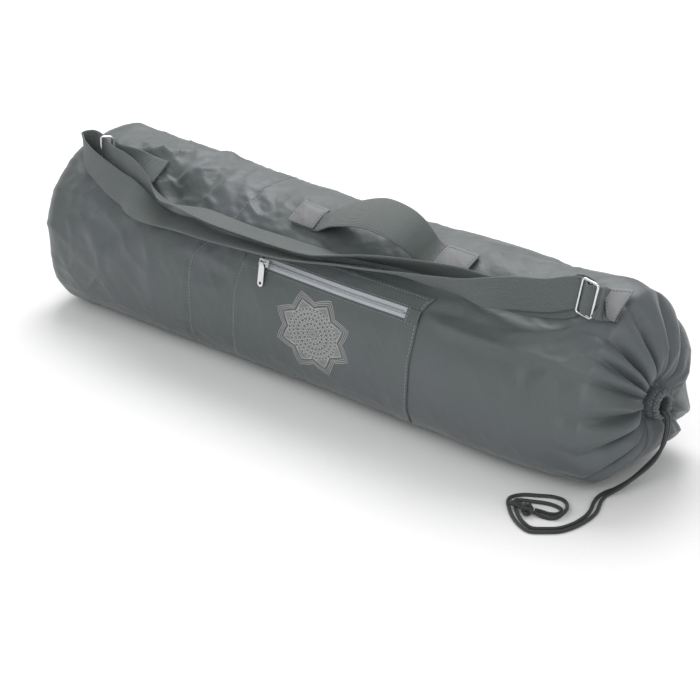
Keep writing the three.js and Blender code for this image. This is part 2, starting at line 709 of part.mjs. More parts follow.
const BACK_RUN = [
  { along: 0.402, around: 47.6, lift: 19.5, tilt: 61 },
  { along: 0.453, around: 47.2, lift: 19.3, tilt: 59 },
  { along: 0.503, around: 46.7, lift: 19.3, tilt: 59 },
  { along: 0.545, around: 45.8, lift: 20.0, tilt: 61 },
  { along: 0.590, around: 43.0, lift: 18.6, tilt: 70 },
  { along: 0.628, around: 40.2, lift: 17.2, tilt: 76 },
  { along: 0.679, around: 37.8, lift: 17.4, tilt: 81 },
  { along: 0.741, around: 36.0, lift: 16.4, tilt: 94 },
  { along: 0.786, around: 34.2, lift: 13.4, tilt: 105 },
  { along: 0.824, around: 33.5, lift: 10.1, tilt: 115 },
  { along: 0.864, around: 30.5, lift: 6.4, tilt: 127 },
  { along: 0.904, around: 26.0, lift: 6.1, tilt: 131 },
  { along: 0.930, around: 21.5, lift: 6.6, tilt: 131 },
];

function turnRow({ along, side, high, rise }) {
  const angle = THREE.MathUtils.degToRad(rise);
  const across = new THREE.Vector3(0, Math.cos(angle), Math.sin(angle));
  const middle = sharePoint({ along, side, high });
  return {
    a: middle.clone().addScaledVector(across, -WEBBING_WIDTH / 2),
    b: middle.clone().addScaledVector(across, WEBBING_WIDTH / 2),
  };
}

function shoulderStrap() {
  const pass = WIRE_DEPTH / 2 + 3 * GAP + WEBBING_THICK / 2;
  const pitch = (BUCKLE_LENGTH - WIRE) / 2;
  const place = cornerPlace(PATCH_CORNERS);
  const sewn = [0.9, 0.5, -0.06].map((u) => {
    const near = place(u, 0.06);
    const far = place(u, 0.94);
    const lift = SEAT + WEBBING_THICK / 2 + 2.8;
    return {
      a: skinPoint(far.along, far.around, lift),
      b: skinPoint(near.along, near.around, lift),
    };
  });
  const woven = [
    { path: pitch + 4, face: -pass - 2 },
    { path: pitch + 1.2, face: -pass - 1 },
    { path: pitch / 2, face: 0 },
    { path: 0, face: pass + 0.4 },
    { path: -pitch / 2, face: 0 },
    { path: -pitch, face: -pass - 0.4 },
    { path: -pitch - 3, face: -pass - 0.6 },
  ].map(buckleRow);
  const ends = [
    { path: -pitch - 3, face: -pass - 5.7 },
    { path: -3, face: -pass - 5.3 },
  ].map(buckleRow).map(({ a, b }) => ({ a: b, b: a }));
  const rows = [
    ...sewn,
    ...woven,
    ...FRONT_RUN.map(webbingRow),
    ...TURN_ROWS.map(turnRow),
    ...BACK_RUN.map(webbingRow),
    ...ends,
  ];
  addPiece('shoulder_strap', webbing(rows), WEBBING_LOOK);
  const patchLift = SEAT + WEBBING_THICK + 4.4;
  addPiece('strap_patch', sheetOnSkin(place, 4, 4, patchLift, SHEET), SHEEN_LOOK);
  const group = seated(sharePoint(BUCKLE_CENTRE), BUCKLE_PATH, BUCKLE_ACROSS, BUCKLE_FACE.clone().negate());
  const inside = WEBBING_WIDTH + 2 * GAP + 0.4;
  addPiece('strap_buckle', wireFrame(BUCKLE_LENGTH, inside + 2 * WIRE, true), METAL_LOOK, group);
}

// Ring at the base end: its near bar holds the strap, its far bar the tab that is sewn to the bag
const RING_CENTRE = { along: 0.0797, side: -0.31047, high: 1.00562 };
const RING_ACROSS = new THREE.Vector3(0.755, 0.656, 0);
const TAB_ROWS = [
  { along: 0.092, side: -0.2866, high: 1.0056, rise: 90 },
  { along: 0.108, side: -0.3035, high: 0.9972, rise: 92 },
];
const TAB_SEWN = [
  { along: 0.150, around: 28.0, lift: 4.2, tilt: 178 },
  { along: 0.175, around: 27.0, lift: 4.2, tilt: 180 },
];

function strapRing() {
  const up = new THREE.Vector3(0, 0, 1);
  const across = RING_ACROSS.clone().normalize();
  const face = new THREE.Vector3().crossVectors(across, up);
  const group = seated(sharePoint(RING_CENTRE), across, up, face);
  const inside = WEBBING_WIDTH + 2 * GAP + 0.6;
  addPiece('strap_ring', wireFrame(RING_LENGTH, inside + 2 * WIRE, false), METAL_LOOK, group);
  const rows = [...TAB_ROWS.map(turnRow), ...TAB_SEWN.map(sewnRow)];
  addPiece('strap_tab', webbing(rows, 3), WEBBING_LOOK);
}

// Drawcord: two strands from the mouth to a knot on the floor. Their points are chosen by hand.
const STRAND_A = [
  [358, -1.9, 73], [365, -1.9, 73], [369.4, -2.3, 70.2], [371.3, -3.6, 63], [371.2, -6, 50],
  [369.6, -9.8, 38], [366, -17, 28], [358, -29, 17], [350, -41, 8], [343, -49, 2.2],
  [345, -60, 1.8], [349, -69, 1.8], [353, -78, 1.8],
  [355.5, -87, 1.8], [356.5, -102, 1.8], [355, -116, 1.8], [350.5, -129, 1.8], [340, -139.5, 1.8],
  [330, -146, 1.8], [316, -142, 1.8], [302, -133, 1.8], [291, -123, 1.8], [283.5, -114.5, 1.8],
  [281, -107.5, 1.8], [283, -101, 1.8], [288, -95, 1.8], [297, -89, 1.8], [309, -82, 1.8],
  [318, -81, 1.8], [325, -84.5, 1.8], [330.5, -91.5, 3.2], [335.5, -99.5, 5.6], [337, -106.5, 5.2],
  [335, -112, 3], [330.5, -115.5, 1.8], [323, -117.5, 1.8], [314.7, -119.1, 3.6],
];
const STRAND_B = [
  [358, 1.8, 73], [365, 1.8, 73], [369.4, 1.4, 70.2], [371.2, 0.1, 63], [370.8, -2.2, 50],
  [368, -6, 38], [361, -14, 25], [352, -25, 12], [343, -36, 3.6], [338.5, -45, 1.9],
  [338.5, -56, 1.8], [342, -68, 1.8],
  [347.5, -80, 1.8], [350.5, -90, 1.8], [351.5, -101, 1.8], [350.2, -114, 1.8], [346, -125.5, 1.8],
  [337.5, -134, 1.8], [328.5, -140, 1.8], [317.5, -136.8, 1.8], [305.5, -129, 1.8], [295.5, -119.5, 1.8],
  [289.5, -112.5, 1.8], [287.8, -109, 1.8], [291, -105.5, 1.8], [299, -101.5, 1.8], [308, -97, 1.8],
  [319, -94.5, 1.8], [327, -96, 1.8], [331, -101, 1.8], [329.5, -106.5, 1.8], [324, -110, 1.8],
  [317.5, -111.6, 2.4], [313.1, -115.1, 3.8],
];
const KNOT_CENTRE = [308.5, -120, 4.6];
const KNOT_RADII = [5.2, 9.2, 4.4];
const KNOT_TURN = 43;
const CORD_SIDES = 6;

function cordTube(points, radius, steps) {
  const path = new THREE.CatmullRomCurve3(points.map(([x, y, z]) => new THREE.Vector3(x, y, z)));
  const circle = new THREE.Shape();
  for (let side = 0; side < CORD_SIDES; side += 1) {
    const angle = (side / CORD_SIDES) * 2 * Math.PI;
    const spot = [radius * Math.cos(angle), radius * Math.sin(angle)];
    if (side === 0) circle.moveTo(...spot);
    else circle.lineTo(...spot);
  }
  circle.closePath();
  return new THREE.ExtrudeGeometry(circle, { steps, bevelEnabled: false, extrudePath: path });
}

function drawcord() {
  addPiece('drawcord_strand_a', cordTube(STRAND_A, CORD / 2, 56), CORD_LOOK);
  addPiece('drawcord_strand_b', cordTube(STRAND_B, CORD / 2, 50), CORD_LOOK);
  const knot = new THREE.SphereGeometry(1, 10, 7);
  knot.scale(...KNOT_RADII);
  knot.rotateZ(THREE.MathUtils.degToRad(KNOT_TURN));
  knot.translate(...KNOT_CENTRE);
  addPiece('drawcord_knot', knot, CORD_LOOK);
}

addPiece('bag_body', bagBody(), CLOTH_LOOK);
pocket();
zipSlider();
carryHandle();
shoulderStrap();
strapRing();
drawcord();

export default bag;
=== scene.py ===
"""Looks of a yoga mat bag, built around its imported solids: cloth tube, pocket, zip, straps and drawcord."""

from __future__ import annotations

import logging
import math
from dataclasses import dataclass
from enum import Enum
from typing import Sequence

import bmesh
import bpy
import numpy as np
from mathutils import Matrix, Vector

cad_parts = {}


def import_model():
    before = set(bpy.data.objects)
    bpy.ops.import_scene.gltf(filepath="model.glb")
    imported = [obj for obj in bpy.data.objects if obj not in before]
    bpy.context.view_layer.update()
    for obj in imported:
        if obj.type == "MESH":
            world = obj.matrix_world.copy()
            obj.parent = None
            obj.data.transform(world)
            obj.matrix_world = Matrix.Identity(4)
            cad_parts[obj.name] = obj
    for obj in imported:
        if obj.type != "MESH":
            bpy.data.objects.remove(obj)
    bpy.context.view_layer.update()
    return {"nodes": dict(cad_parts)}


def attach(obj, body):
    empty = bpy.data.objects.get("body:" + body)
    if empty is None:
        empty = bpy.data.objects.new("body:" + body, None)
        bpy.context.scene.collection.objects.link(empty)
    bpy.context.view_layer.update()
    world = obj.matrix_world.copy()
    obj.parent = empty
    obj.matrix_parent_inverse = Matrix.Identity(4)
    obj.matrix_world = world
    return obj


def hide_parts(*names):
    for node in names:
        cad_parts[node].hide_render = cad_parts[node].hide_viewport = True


LOG = logging.getLogger("mat_bag")
MM = 0.001
FULL_TURN = 360.0
MERGE_DISTANCE = 2e-6
CRUMPLE_DEPTH = 0.004
WEAVE_DEPTH = 0.0004
SCRATCH_DEPTH = 0.0005
Vec3 = tuple[float, float, float]
Pair = tuple[np.ndarray, np.ndarray]
Corners = Sequence[tuple[float, float]]


class Body(Enum):
    """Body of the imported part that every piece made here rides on."""

    BAG = "bag"


class Slot(Enum):
    """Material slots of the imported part."""

    CLOTH = "cloth"
    PATCH = "patch_cloth"
    WEBBING = "webbing"
    TAPE = "zip_tape"
    METAL = "metal"
    CORD = "cord"


# Shader groups and finishes


class NodeSheet:
    """A node tree with short calls for adding nodes and joining them."""

    def __init__(self, tree: bpy.types.NodeTree) -> None:
        """Takes the tree and empties it."""
        self.tree = tree
        tree.nodes.clear()

    def add(self, kind: str, **settings: object) -> bpy.types.Node:
        """Adds a node and sets its attributes.

        Args:
            kind: The node's type name.
            settings: Attributes of the node.

        Returns:
            The new node.
        """
        node = self.tree.nodes.new(kind)
        for name, value in settings.items():
            setattr(node, name, value)
        return node

    def join(self, output: bpy.types.NodeSocket, target: bpy.types.NodeSocket) -> None:
        """Joins one socket to another."""
        self.tree.links.new(output, target)

    def feed(self, target: bpy.types.NodeSocket, value: object) -> None:
        """Fills a socket with a number, a colour or another node's output."""
        if isinstance(value, bpy.types.NodeSocket):
            self.join(value, target)
        else:
            target.default_value = value

    def math(self, operation: str, first: object, second: object = 0.0) -> bpy.types.NodeSocket:
        """Adds a Math node.

        Args:
            operation: The node's operation.
            first: Number or socket.
            second: Number or socket.

        Returns:
            The node's output.
        """
        node = self.add("ShaderNodeMath", operation=operation)
        self.feed(node.inputs[0], first)
        self.feed(node.inputs[1], second)
        return node.outputs[0]

    def noise(self, vector: object, scale: object, detail: float = 3.0) -> bpy.types.NodeSocket:
        """Adds a Noise texture and returns its value.

        Args:
            vector: Socket with the coordinates.
            scale: Number or socket.
            detail: Octaves of the noise.

        Returns:
            The value of the noise, from 0 to 1.
        """
        node = self.add("ShaderNodeTexNoise")
        self.feed(node.inputs["Vector"], vector)
        self.feed(node.inputs["Scale"], scale)
        node.inputs["Detail"].default_value = detail
        return node.outputs[0]

    def blend(self, share: object, first: object, second: object) -> bpy.types.NodeSocket:
        """Adds a colour Mix node.

        Args:
            share: Number or socket, 0 for the first colour.
            first: Colour or socket.
            second: Colour or socket.

        Returns:
            The mixed colour.
        """
        node = self.add("ShaderNodeMix", data_type="RGBA")
        self.feed(node.inputs[0], share)
        self.feed(node.inputs[6], first)
        self.feed(node.inputs[7], second)
        return node.outputs[2]

    def remap(
        self, value: object, low: float, high: float, to_low: float, to_high: float,
    ) -> bpy.types.NodeSocket:
        """Maps a value from one range to another, held within it.

        Args:
            value: Socket to map.
            low: Value that gives to_low.
            high: Value that gives to_high.
            to_low: Result at low.
            to_high: Result at high.

        Returns:
            The mapped value.
        """
        node = self.add("ShaderNodeMapRange")
        self.feed(node.inputs[0], value)
        for index, number in enumerate((low, high, to_low, to_high), start=1):
            node.inputs[index].default_value = number
        return node.outputs[0]

    def bump(
        self, height: bpy.types.NodeSocket, strength: float, depth: float,
        under: bpy.types.NodeSocket | None = None,
    ) -> bpy.types.NodeSocket:
        """Adds a Bump node.

        Args:
            height: Socket with the height.
            strength: Strength of the bump.
            depth: Its depth in metres.
            under: Normal of the bump below it.

        Returns:
            The bumped normal.
        """
        node = self.add("ShaderNodeBump")
        node.inputs["Strength"].default_value = strength
        node.inputs["Distance"].default_value = depth
        self.join(height, node.inputs["Height"])
        if under is not None:
            self.join(under, node.inputs["Normal"])
        return node.outputs[0]


def new_material(name: str) -> tuple[bpy.types.Material, NodeSheet, bpy.types.Node, bpy.types.Node]:
    """Starts a material.

    Args:
        name: The material's name.

    Returns:
        The material, its sheet, its shader and its coordinates node.
    """
    made = bpy.data.materials.new(name)
    made.use_nodes = True
    sheet = NodeSheet(made.node_tree)
    shader = sheet.add("ShaderNodeBsdfPrincipled")
    result = sheet.add("ShaderNodeOutputMaterial")
    sheet.join(shader.outputs[0], result.inputs[0])
    return made, sheet, shader, sheet.add("ShaderNodeTexCoord")


def new_group(
    name: str, inputs: dict[str, float], outputs: dict[str, str],
) -> tuple[NodeSheet, dict, bpy.types.NodeTree]:
    """Starts a shader group with named sockets.

    Args:
        name: The group's name.
        inputs: Number inputs and their defaults.
        outputs: Outputs and their socket types.

    Returns:
        The sheet to build on, its inputs by name with the output node under "out", and the tree.
    """
    tree = bpy.data.node_groups.new(name, "ShaderNodeTree")
    tree.interface.new_socket(name="Vector", in_out="INPUT", socket_type="NodeSocketVector")
    for socket, value in inputs.items():
        made = tree.interface.new_socket(name=socket, in_out="INPUT", socket_type="NodeSocketFloat")
        made.default_value = value
    for socket, kind in outputs.items():
        tree.interface.new_socket(name=socket, in_out="OUTPUT", socket_type=kind)
    sheet = NodeSheet(tree)
    source = sheet.add("NodeGroupInput")
    result = sheet.add("NodeGroupOutput")
    ends = {socket.name: socket for socket in source.outputs}
    ends["out"] = result
    return sheet, ends, tree


def weave_group() -> bpy.types.NodeTree:
    """Builds the plain weave: over and under threads on a flat map in millimetres.

    Returns:
        The group, with the outputs Height and Thread.
    """
    sheet, ends, tree = new_group(
        "plain_weave", {"Pitch": 0.8, "Ribs": 0.5}, {"Height": "NodeSocketFloat", "Thread": "NodeSocketFloat"}
    )
    parts = sheet.add("ShaderNodeSeparateXYZ")
    sheet.join(ends["Vector"], parts.inputs[0])
    waves = []
    for axis in (0, 1):
        turns = sheet.math("DIVIDE", parts.outputs[axis], ends["Pitch"])
        waves.append(sheet.math("SINE", sheet.math("MULTIPLY", turns, 2 * math.pi)))
    crossed = sheet.math("MULTIPLY", waves[0], waves[1])
    ribbed = sheet.math("MULTIPLY", waves[0], ends["Ribs"])
    height = sheet.math("ADD", crossed, ribbed)
    thread = sheet.noise(ends["Vector"], sheet.math("DIVIDE", 0.9, ends["Pitch"]), 2.0)
    sheet.join(sheet.math("MULTIPLY_ADD", height, 0.5), ends["out"].inputs["Height"])
    sheet.join(thread, ends["out"].inputs["Thread"])
    return tree


def mottle_group() -> bpy.types.NodeTree:
    """Builds soft patches and small crumples on Object coordinates.

    Returns:
        The group, with the outputs Patches and Crumple.
    """
    sheet, ends, tree = new_group(
        "soft_mottle", {"Patch Scale": 9.0, "Crumple Scale": 55.0},
        {"Patches": "NodeSocketFloat", "Crumple": "NodeSocketFloat"},
    )
    warp = sheet.add("ShaderNodeTexNoise")
    sheet.join(ends["Vector"], warp.inputs["Vector"])
    warp.inputs["Scale"].default_value = 14.0
    mixed = sheet.add("ShaderNodeVectorMath", operation="MULTIPLY_ADD")
    sheet.join(warp.outputs["Color"], mixed.inputs[0])
    mixed.inputs[1].default_value = (0.05, 0.05, 0.05)
    sheet.join(ends["Vector"], mixed.inputs[2])
    patches = sheet.noise(mixed.outputs[0], ends["Patch Scale"], 2.0)
    fine = sheet.noise(mixed.outputs[0], ends["Crumple Scale"], 4.0)
    sheet.join(patches, ends["out"].inputs["Patches"])
    sheet.join(fine, ends["out"].inputs["Crumple"])
    return tree


@dataclass(frozen=True)
class Finish:
    """A woven finish: its colours, with painted sheen patches and painted shade in the weave's grooves, its
    gloss and weave.
    """

    name: str
    slot: Slot
    color: Vec3
    # Lighter, bluer colour blended in soft patches: painted satin sheen.
    sheen_tint: Vec3
    roughness: float
    pitch: float
    ribs: float
    weave_bump: float
    crumple_bump: float
    sheen: float = 0.15
    # Share of the painted sheen colour in the patches.
    mottle: float = 0.5

    def material(self, groups: dict[str, bpy.types.NodeTree]) -> bpy.types.Material:
        """Makes the finish's material.

        Args:
            groups: The shader groups by name.

        Returns:
            The new material.
        """
        made, sheet, shader, coords = new_material(self.name)
        weave = sheet.add("ShaderNodeGroup", node_tree=groups["weave"])
        sheet.join(coords.outputs["UV"], weave.inputs["Vector"])
        weave.inputs["Pitch"].default_value = self.pitch
        weave.inputs["Ribs"].default_value = self.ribs
        mottle = sheet.add("ShaderNodeGroup", node_tree=groups["mottle"])
        sheet.join(coords.outputs["Object"], mottle.inputs["Vector"])
        # Soft random patches blend in the lighter, bluer sheen colour: painted satin sheen; the same patches
        # make the cloth glossier.
        patches = sheet.remap(mottle.outputs["Patches"], 0.35, 0.68, 0.0, self.mottle)
        base = sheet.blend(patches, (*self.color, 1.0), (*self.sheen_tint, 1.0))
        # Random thread tone times a darkening of the weave's low points, which is painted shade in the
        # grooves between threads.
        threads = sheet.remap(weave.outputs["Thread"], 0.3, 0.7, 0.9, 1.1)
        groove_shade = sheet.remap(weave.outputs["Height"], -0.7, 0.4, 0.86, 1.0)
        shade = sheet.math("MULTIPLY", threads, groove_shade)
        tinted = sheet.add("ShaderNodeVectorMath", operation="SCALE")
        sheet.join(base, tinted.inputs[0])
        sheet.join(shade, tinted.inputs["Scale"])
        sheet.join(tinted.outputs[0], shader.inputs["Base Color"])
        gloss = sheet.remap(mottle.outputs["Patches"], 0.3, 0.7, self.roughness + 0.05, self.roughness - 0.05)
        sheet.join(gloss, shader.inputs["Roughness"])
        shader.inputs["Sheen Weight"].default_value = self.sheen
        shader.inputs["Sheen Roughness"].default_value = 0.45
        crumple = sheet.bump(mottle.outputs["Crumple"], self.crumple_bump, CRUMPLE_DEPTH)
        fine = sheet.bump(weave.outputs["Height"], self.weave_bump, WEAVE_DEPTH, crumple)
        sheet.join(fine, shader.inputs["Normal"])
        return made


@dataclass(frozen=True)
class MetalFinish:
    """Bright plated metal with faint scratches and dulled patches."""

    name: str
    slot: Slot
    color: Vec3
    roughness: float

    def material(self, groups: dict[str, bpy.types.NodeTree]) -> bpy.types.Material:
        """Makes the metal's material.

        Args:
            groups: The shader groups by name.

        Returns:
            The new material.
        """
        made, sheet, shader, coords = new_material(self.name)
        mottle = sheet.add("ShaderNodeGroup", node_tree=groups["mottle"])
        sheet.join(coords.outputs["Object"], mottle.inputs["Vector"])
        mottle.inputs["Patch Scale"].default_value = 160.0
        mottle.inputs["Crumple Scale"].default_value = 900.0
        dull = sheet.remap(mottle.outputs["Patches"], 0.35, 0.7, self.roughness, self.roughness + 0.16)
        sheet.join(dull, shader.inputs["Roughness"])
        dark = tuple(0.72 * part for part in self.color)
        worn = sheet.remap(mottle.outputs["Crumple"], 0.4, 0.7, 0.0, 0.5)
        sheet.join(sheet.blend(worn, (*self.color, 1.0), (*dark, 1.0)), shader.inputs["Base Color"])
        shader.inputs["Metallic"].default_value = 1.0
        scratches = sheet.bump(mottle.outputs["Crumple"], 0.08, SCRATCH_DEPTH)
        sheet.join(scratches, shader.inputs["Normal"])
        return made


# Name, slot, colour and sheen tint (a lighter colour painted in soft patches as sheen), then roughness,
# thread pitch, ribs and the strengths of the two bumps
FINISHES = {
    "nylon": Finish(
        "satin_nylon", Slot.CLOTH, (0.072, 0.086, 0.087), (0.092, 0.1, 0.112), 0.47, 0.9, 0.3, 0.18, 0.3
    ),
    "lining": Finish(
        "lining_nylon", Slot.CLOTH, (0.05, 0.056, 0.057), (0.06, 0.065, 0.07), 0.6, 0.9, 0.3, 0.2, 0.3
    ),
    "patch": Finish(
        "patch_nylon", Slot.PATCH, (0.15, 0.152, 0.157), (0.18, 0.182, 0.19), 0.5, 0.8, 0.4, 0.3, 0.1
    ),
    "webbing": Finish(
        "ribbed_webbing", Slot.WEBBING, (0.09, 0.108, 0.105), (0.115, 0.13, 0.13), 0.6, 1.5, 1.4, 0.8, 0.1
    ),
    "tape": Finish(
        "zip_tape_weave", Slot.TAPE, (0.47, 0.5, 0.54), (0.53, 0.56, 0.6), 0.6, 0.7, 0.8, 0.6, 0.05
    ),
    "thread": Finish(
        "sewing_thread", Slot.CLOTH, (0.25, 0.265, 0.275), (0.3, 0.31, 0.32), 0.55, 0.4, 0.5, 0.3, 0.02
    ),
    "print": Finish(
        "pale_print", Slot.CLOTH, (0.36, 0.36, 0.355), (0.42, 0.42, 0.41), 0.6, 0.9, 0.3, 0.25, 0.05
    ),
    "cord": Finish(
        "braided_cord", Slot.CORD, (0.018, 0.021, 0.021), (0.03, 0.034, 0.034), 0.55, 2.4, 0.3, 1.0, 0.05
    ),
    "metal": MetalFinish("plated_metal", Slot.METAL, (0.72, 0.73, 0.74), 0.18),
    "teeth": MetalFinish("zip_teeth_metal", Slot.TAPE, (0.5, 0.51, 0.52), 0.32),
}


# Mesh building


def smoothed(keys: Sequence[float], values: np.ndarray, at: np.ndarray) -> np.ndarray:
    """Reads a table smoothly, with central slopes.

    Args:
        keys: Rising places of the rows.
        values: One value, or one array, for each row.
        at: Places to read.

    Returns:
        The value at each place.
    """
    places = np.asarray(keys, float)
    table = np.asarray(values, float)
    spot = np.clip(np.asarray(at, float), places[0], places[-1])
    row = np.clip(np.searchsorted(places, spot, side="right") - 1, 0, len(places) - 2)
    lift = (...,) + (None,) * (table.ndim - 1)
    before = np.maximum(np.arange(len(places)) - 1, 0)
    after = np.minimum(np.arange(len(places)) + 1, len(places) - 1)
    slopes = (table[after] - table[before]) / (places[after] - places[before])[lift]
    span = (places[row + 1] - places[row])[lift]
    share = (spot - places[row])[lift] / span
    rise = table[row + 1] - table[row]
    start = slopes[row] * span
    end = slopes[row + 1] * span
    bend = (3 * rise - 2 * start - end) * share**2 + (start + end - 2 * rise) * share**3
    return table[row] + start * share + bend


def catmull_rom(points: Sequence[Sequence[float]], steps: int) -> np.ndarray:
    """Draws the curve that the solids follow through their points.

    Args:
        points: Points of the route.
        steps: Steps between two points.

    Returns:
        Points along the curve.
    """
    route = np.asarray(points, float)
    ends = (2 * route[0] - route[1], 2 * route[-1] - route[-2])
    full = np.vstack([ends[0], route, ends[1]])
    gaps = np.maximum(np.linalg.norm(np.diff(full, axis=0), axis=1), 1e-9) ** 0.5
    drawn = []
    for i in range(1, len(full) - 2):
        before, at, after, later = full[i - 1 : i + 3]
        left, middle, right = gaps[i - 1 : i + 2]
        start = (at - before) / left - (after - before) / (left + middle) + (after - at) / middle
        end = (after - at) / middle - (later - at) / (middle + right) + (later - after) / right
        start, end = start * middle, end * middle
        for t in np.arange(steps) / steps:
            bend = (-3 * at + 3 * after - 2 * start - end) * t**2 + (2 * at - 2 * after + start + end) * t**3
            drawn.append(at + start * t + bend)
    drawn.append(route[-1])
    return np.array(drawn)


def unit(vectors: np.ndarray) -> np.ndarray:
    """Returns the vectors at length one."""
    return vectors / np.maximum(np.linalg.norm(vectors, axis=-1, keepdims=True), 1e-12)


def run_along(points: np.ndarray) -> np.ndarray:
    """Returns the length run along a line up to each of its points."""
    return np.concatenate([[0.0], np.cumsum(np.linalg.norm(np.diff(points, axis=0), axis=1))])


def row_lengths(rows: np.ndarray) -> np.ndarray:
    """Returns the length run along the middle column up to each row."""
    return run_along(rows[:, rows.shape[1] // 2])


def on_line(points: np.ndarray, run: np.ndarray, at: np.ndarray) -> np.ndarray:
    """Returns the points of a line at given lengths of its run."""
    return np.stack([np.interp(at, run, points[:, axis]) for axis in range(3)], axis=-1)


def flat_map(across: np.ndarray, along: np.ndarray) -> np.ndarray:
    """Returns flat coordinates by row and column, from those of the columns and of the rows."""
    return np.stack(np.broadcast_arrays(across[None, :], along[:, None]), axis=-1)


def ramp(value: np.ndarray, start: float, reach: float) -> np.ndarray:
    """Returns a rise from 0 at the start to 1 at the end of its reach."""
    return np.clip((value - start) / reach, 0, 1)


def hump(away: np.ndarray, wide: float) -> np.ndarray:
    """Returns a soft hump, 1 in its middle."""
    return np.exp(-((away / wide) ** 2))


class Shell:
    """A mesh made of grids laid on given points, in millimetres, with a flat map in millimetres."""

    def __init__(self, name: str) -> None:
        """Starts an empty mesh."""
        self.name = name
        self.bm = bmesh.new()
        self.uv = self.bm.loops.layers.uv.new("flat")

    def add(self, rows: np.ndarray, flat: np.ndarray) -> None:
        """Lays a grid on rows of points.

        Args:
            rows: Points by row and column.
            flat: Flat coordinates by row and column.
        """
        count, columns = rows.shape[:2]
        known = len(self.bm.faces)
        made = bmesh.ops.create_grid(self.bm, x_segments=columns - 1, y_segments=count - 1, size=1.0)
        spots = rows.reshape(-1, 3) * MM
        where = {}
        for vert, spot, place in zip(made["verts"], spots, flat.reshape(-1, 2)):
            vert.co = spot
            where[vert] = place
        self.bm.faces.ensure_lookup_table()
        for index in range(known, len(self.bm.faces)):
            for loop in self.bm.faces[index].loops:
                loop[self.uv].uv = where[loop.vert]

    def close(self) -> None:
        """Merges the edges that meet, fills the open ends and turns the faces outwards."""
        self.weld()
        open_edges = [edge for edge in self.bm.edges if edge.is_boundary]
        if open_edges:
            bmesh.ops.holes_fill(self.bm, edges=open_edges, sides=0)
        bmesh.ops.recalc_face_normals(self.bm, faces=self.bm.faces)

    def weld(self) -> None:
        """Merges the edges that meet and leaves the ends open."""
        bmesh.ops.remove_doubles(self.bm, verts=self.bm.verts, dist=MERGE_DISTANCE)

    def finish(self, material: bpy.types.Material) -> bpy.types.Object:
        """Makes the object, dresses it and lets it ride on the bag.

        Args:
            material: Material of the piece.

        Returns:
            The new object.
        """
        mesh = bpy.data.meshes.new(self.name)
        self.bm.to_mesh(mesh)
        self.bm.free()
        mesh.polygons.foreach_set("use_smooth", [True] * len(mesh.polygons))
        mesh.materials.append(material)
        piece = bpy.data.objects.new(self.name, mesh)
        bpy.context.scene.collection.objects.link(piece)
        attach(piece, Body.BAG.value)
        LOG.info("%s: %d faces", self.name, len(mesh.polygons))
        return piece


def band(shell: Shell, middle: np.ndarray, thick: float) -> None:
    """Adds a flat band with rounded edges round a middle surface.

    Args:
        shell: Mesh that takes it.
        middle: Middle surface by row and column.
        thick: Thickness of the band.
    """
    along = np.gradient(middle, axis=0)
    across = np.gradient(middle, axis=1)
    normal = unit(np.cross(across, along)) * thick / 2
    out = unit(across) * thick / 2
    steps = np.linalg.norm(np.diff(middle, axis=1), axis=2).mean(axis=0)
    width = np.concatenate([[0.0], np.cumsum(steps)])
    columns: list[np.ndarray] = []
    places: list[float] = []
    last = middle.shape[1] - 1

    def put(column: int, rise: float, side: float) -> None:
        """Adds one column of the section."""
        columns.append(middle[:, column] + normal[:, column] * rise + out[:, column] * side)
        places.append(width[column] + (1 - rise) * thick / 2)

    for column in range(last + 1):
        put(column, 1.0, 0.0)
    for angle in (0.25, 0.5, 0.75):
        put(last, math.cos(angle * math.pi), math.sin(angle * math.pi))
    for column in range(last, -1, -1):
        put(column, -1.0, 0.0)
    for angle in (0.75, 0.5, 0.25):
        put(0, math.cos(angle * math.pi), -math.sin(angle * math.pi))
    put(0, 1.0, 0.0)
    shell.add(np.stack(columns, axis=1), flat_map(np.array(places), row_lengths(middle)))


def tube(shell: Shell, route: np.ndarray, radius: float, sides: int, closed: bool = False) -> None:
    """Adds a round tube along a route, with a slanted map for its braid.

    Args:
        shell: Mesh that takes it.
        route: Points of its middle line.
        radius: Radius of the tube.
        sides: Number of its sides.
        closed: Whether the route comes back to its start.
    """
    path = np.gradient(route, axis=0)
    if closed:
        path[0] = path[-1] = route[1] - route[-2]
    path = unit(path)
    side = unit(np.cross(path[0], (0.31, 0.2, 0.93)))
    sides_along = []
    for direction in path:
        side = unit(side - direction * (side @ direction))
        sides_along.append(side)
    first = np.array(sides_along)
    if closed:
        slip = math.atan2(np.cross(first[-1], first[0]) @ path[0], first[-1] @ first[0])
        turn = np.linspace(0.0, slip, len(route))[:, None]
        first = first * np.cos(turn) + np.cross(path, first) * np.sin(turn)
    second = np.cross(path, first)
    angle = np.linspace(0.0, 2 * math.pi, sides + 1)
    circle = first[:, None] * np.cos(angle)[None, :, None]
    circle = circle + second[:, None] * np.sin(angle)[None, :, None]
    rows = route[:, None] + circle * radius
    run = run_along(route)
    around, length = np.broadcast_arrays(angle[None, :] * radius, run[:, None])
    shell.add(rows, np.stack([around + length, length - around], axis=-1) / math.sqrt(2))


# The cloth's surface


@dataclass(frozen=True)
class Fold:
    """A broad hump or dent, with its reach and rise as shares of the bag's height."""

    along: float
    around: float
    long: float
    wide: float
    rise: float


@dataclass(frozen=True)
class Crease:
    """A narrow fold along a line of places, each with x in millimetres and its angle around the bag."""

    places: tuple[tuple[float, float], ...]
    wide: float
    rise: float


@dataclass(frozen=True)
class Ruffled:
    """A patch of the cloth that is more crumpled than the rest."""

    x: float
    around: float
    long: float
    wide: float
    share: float


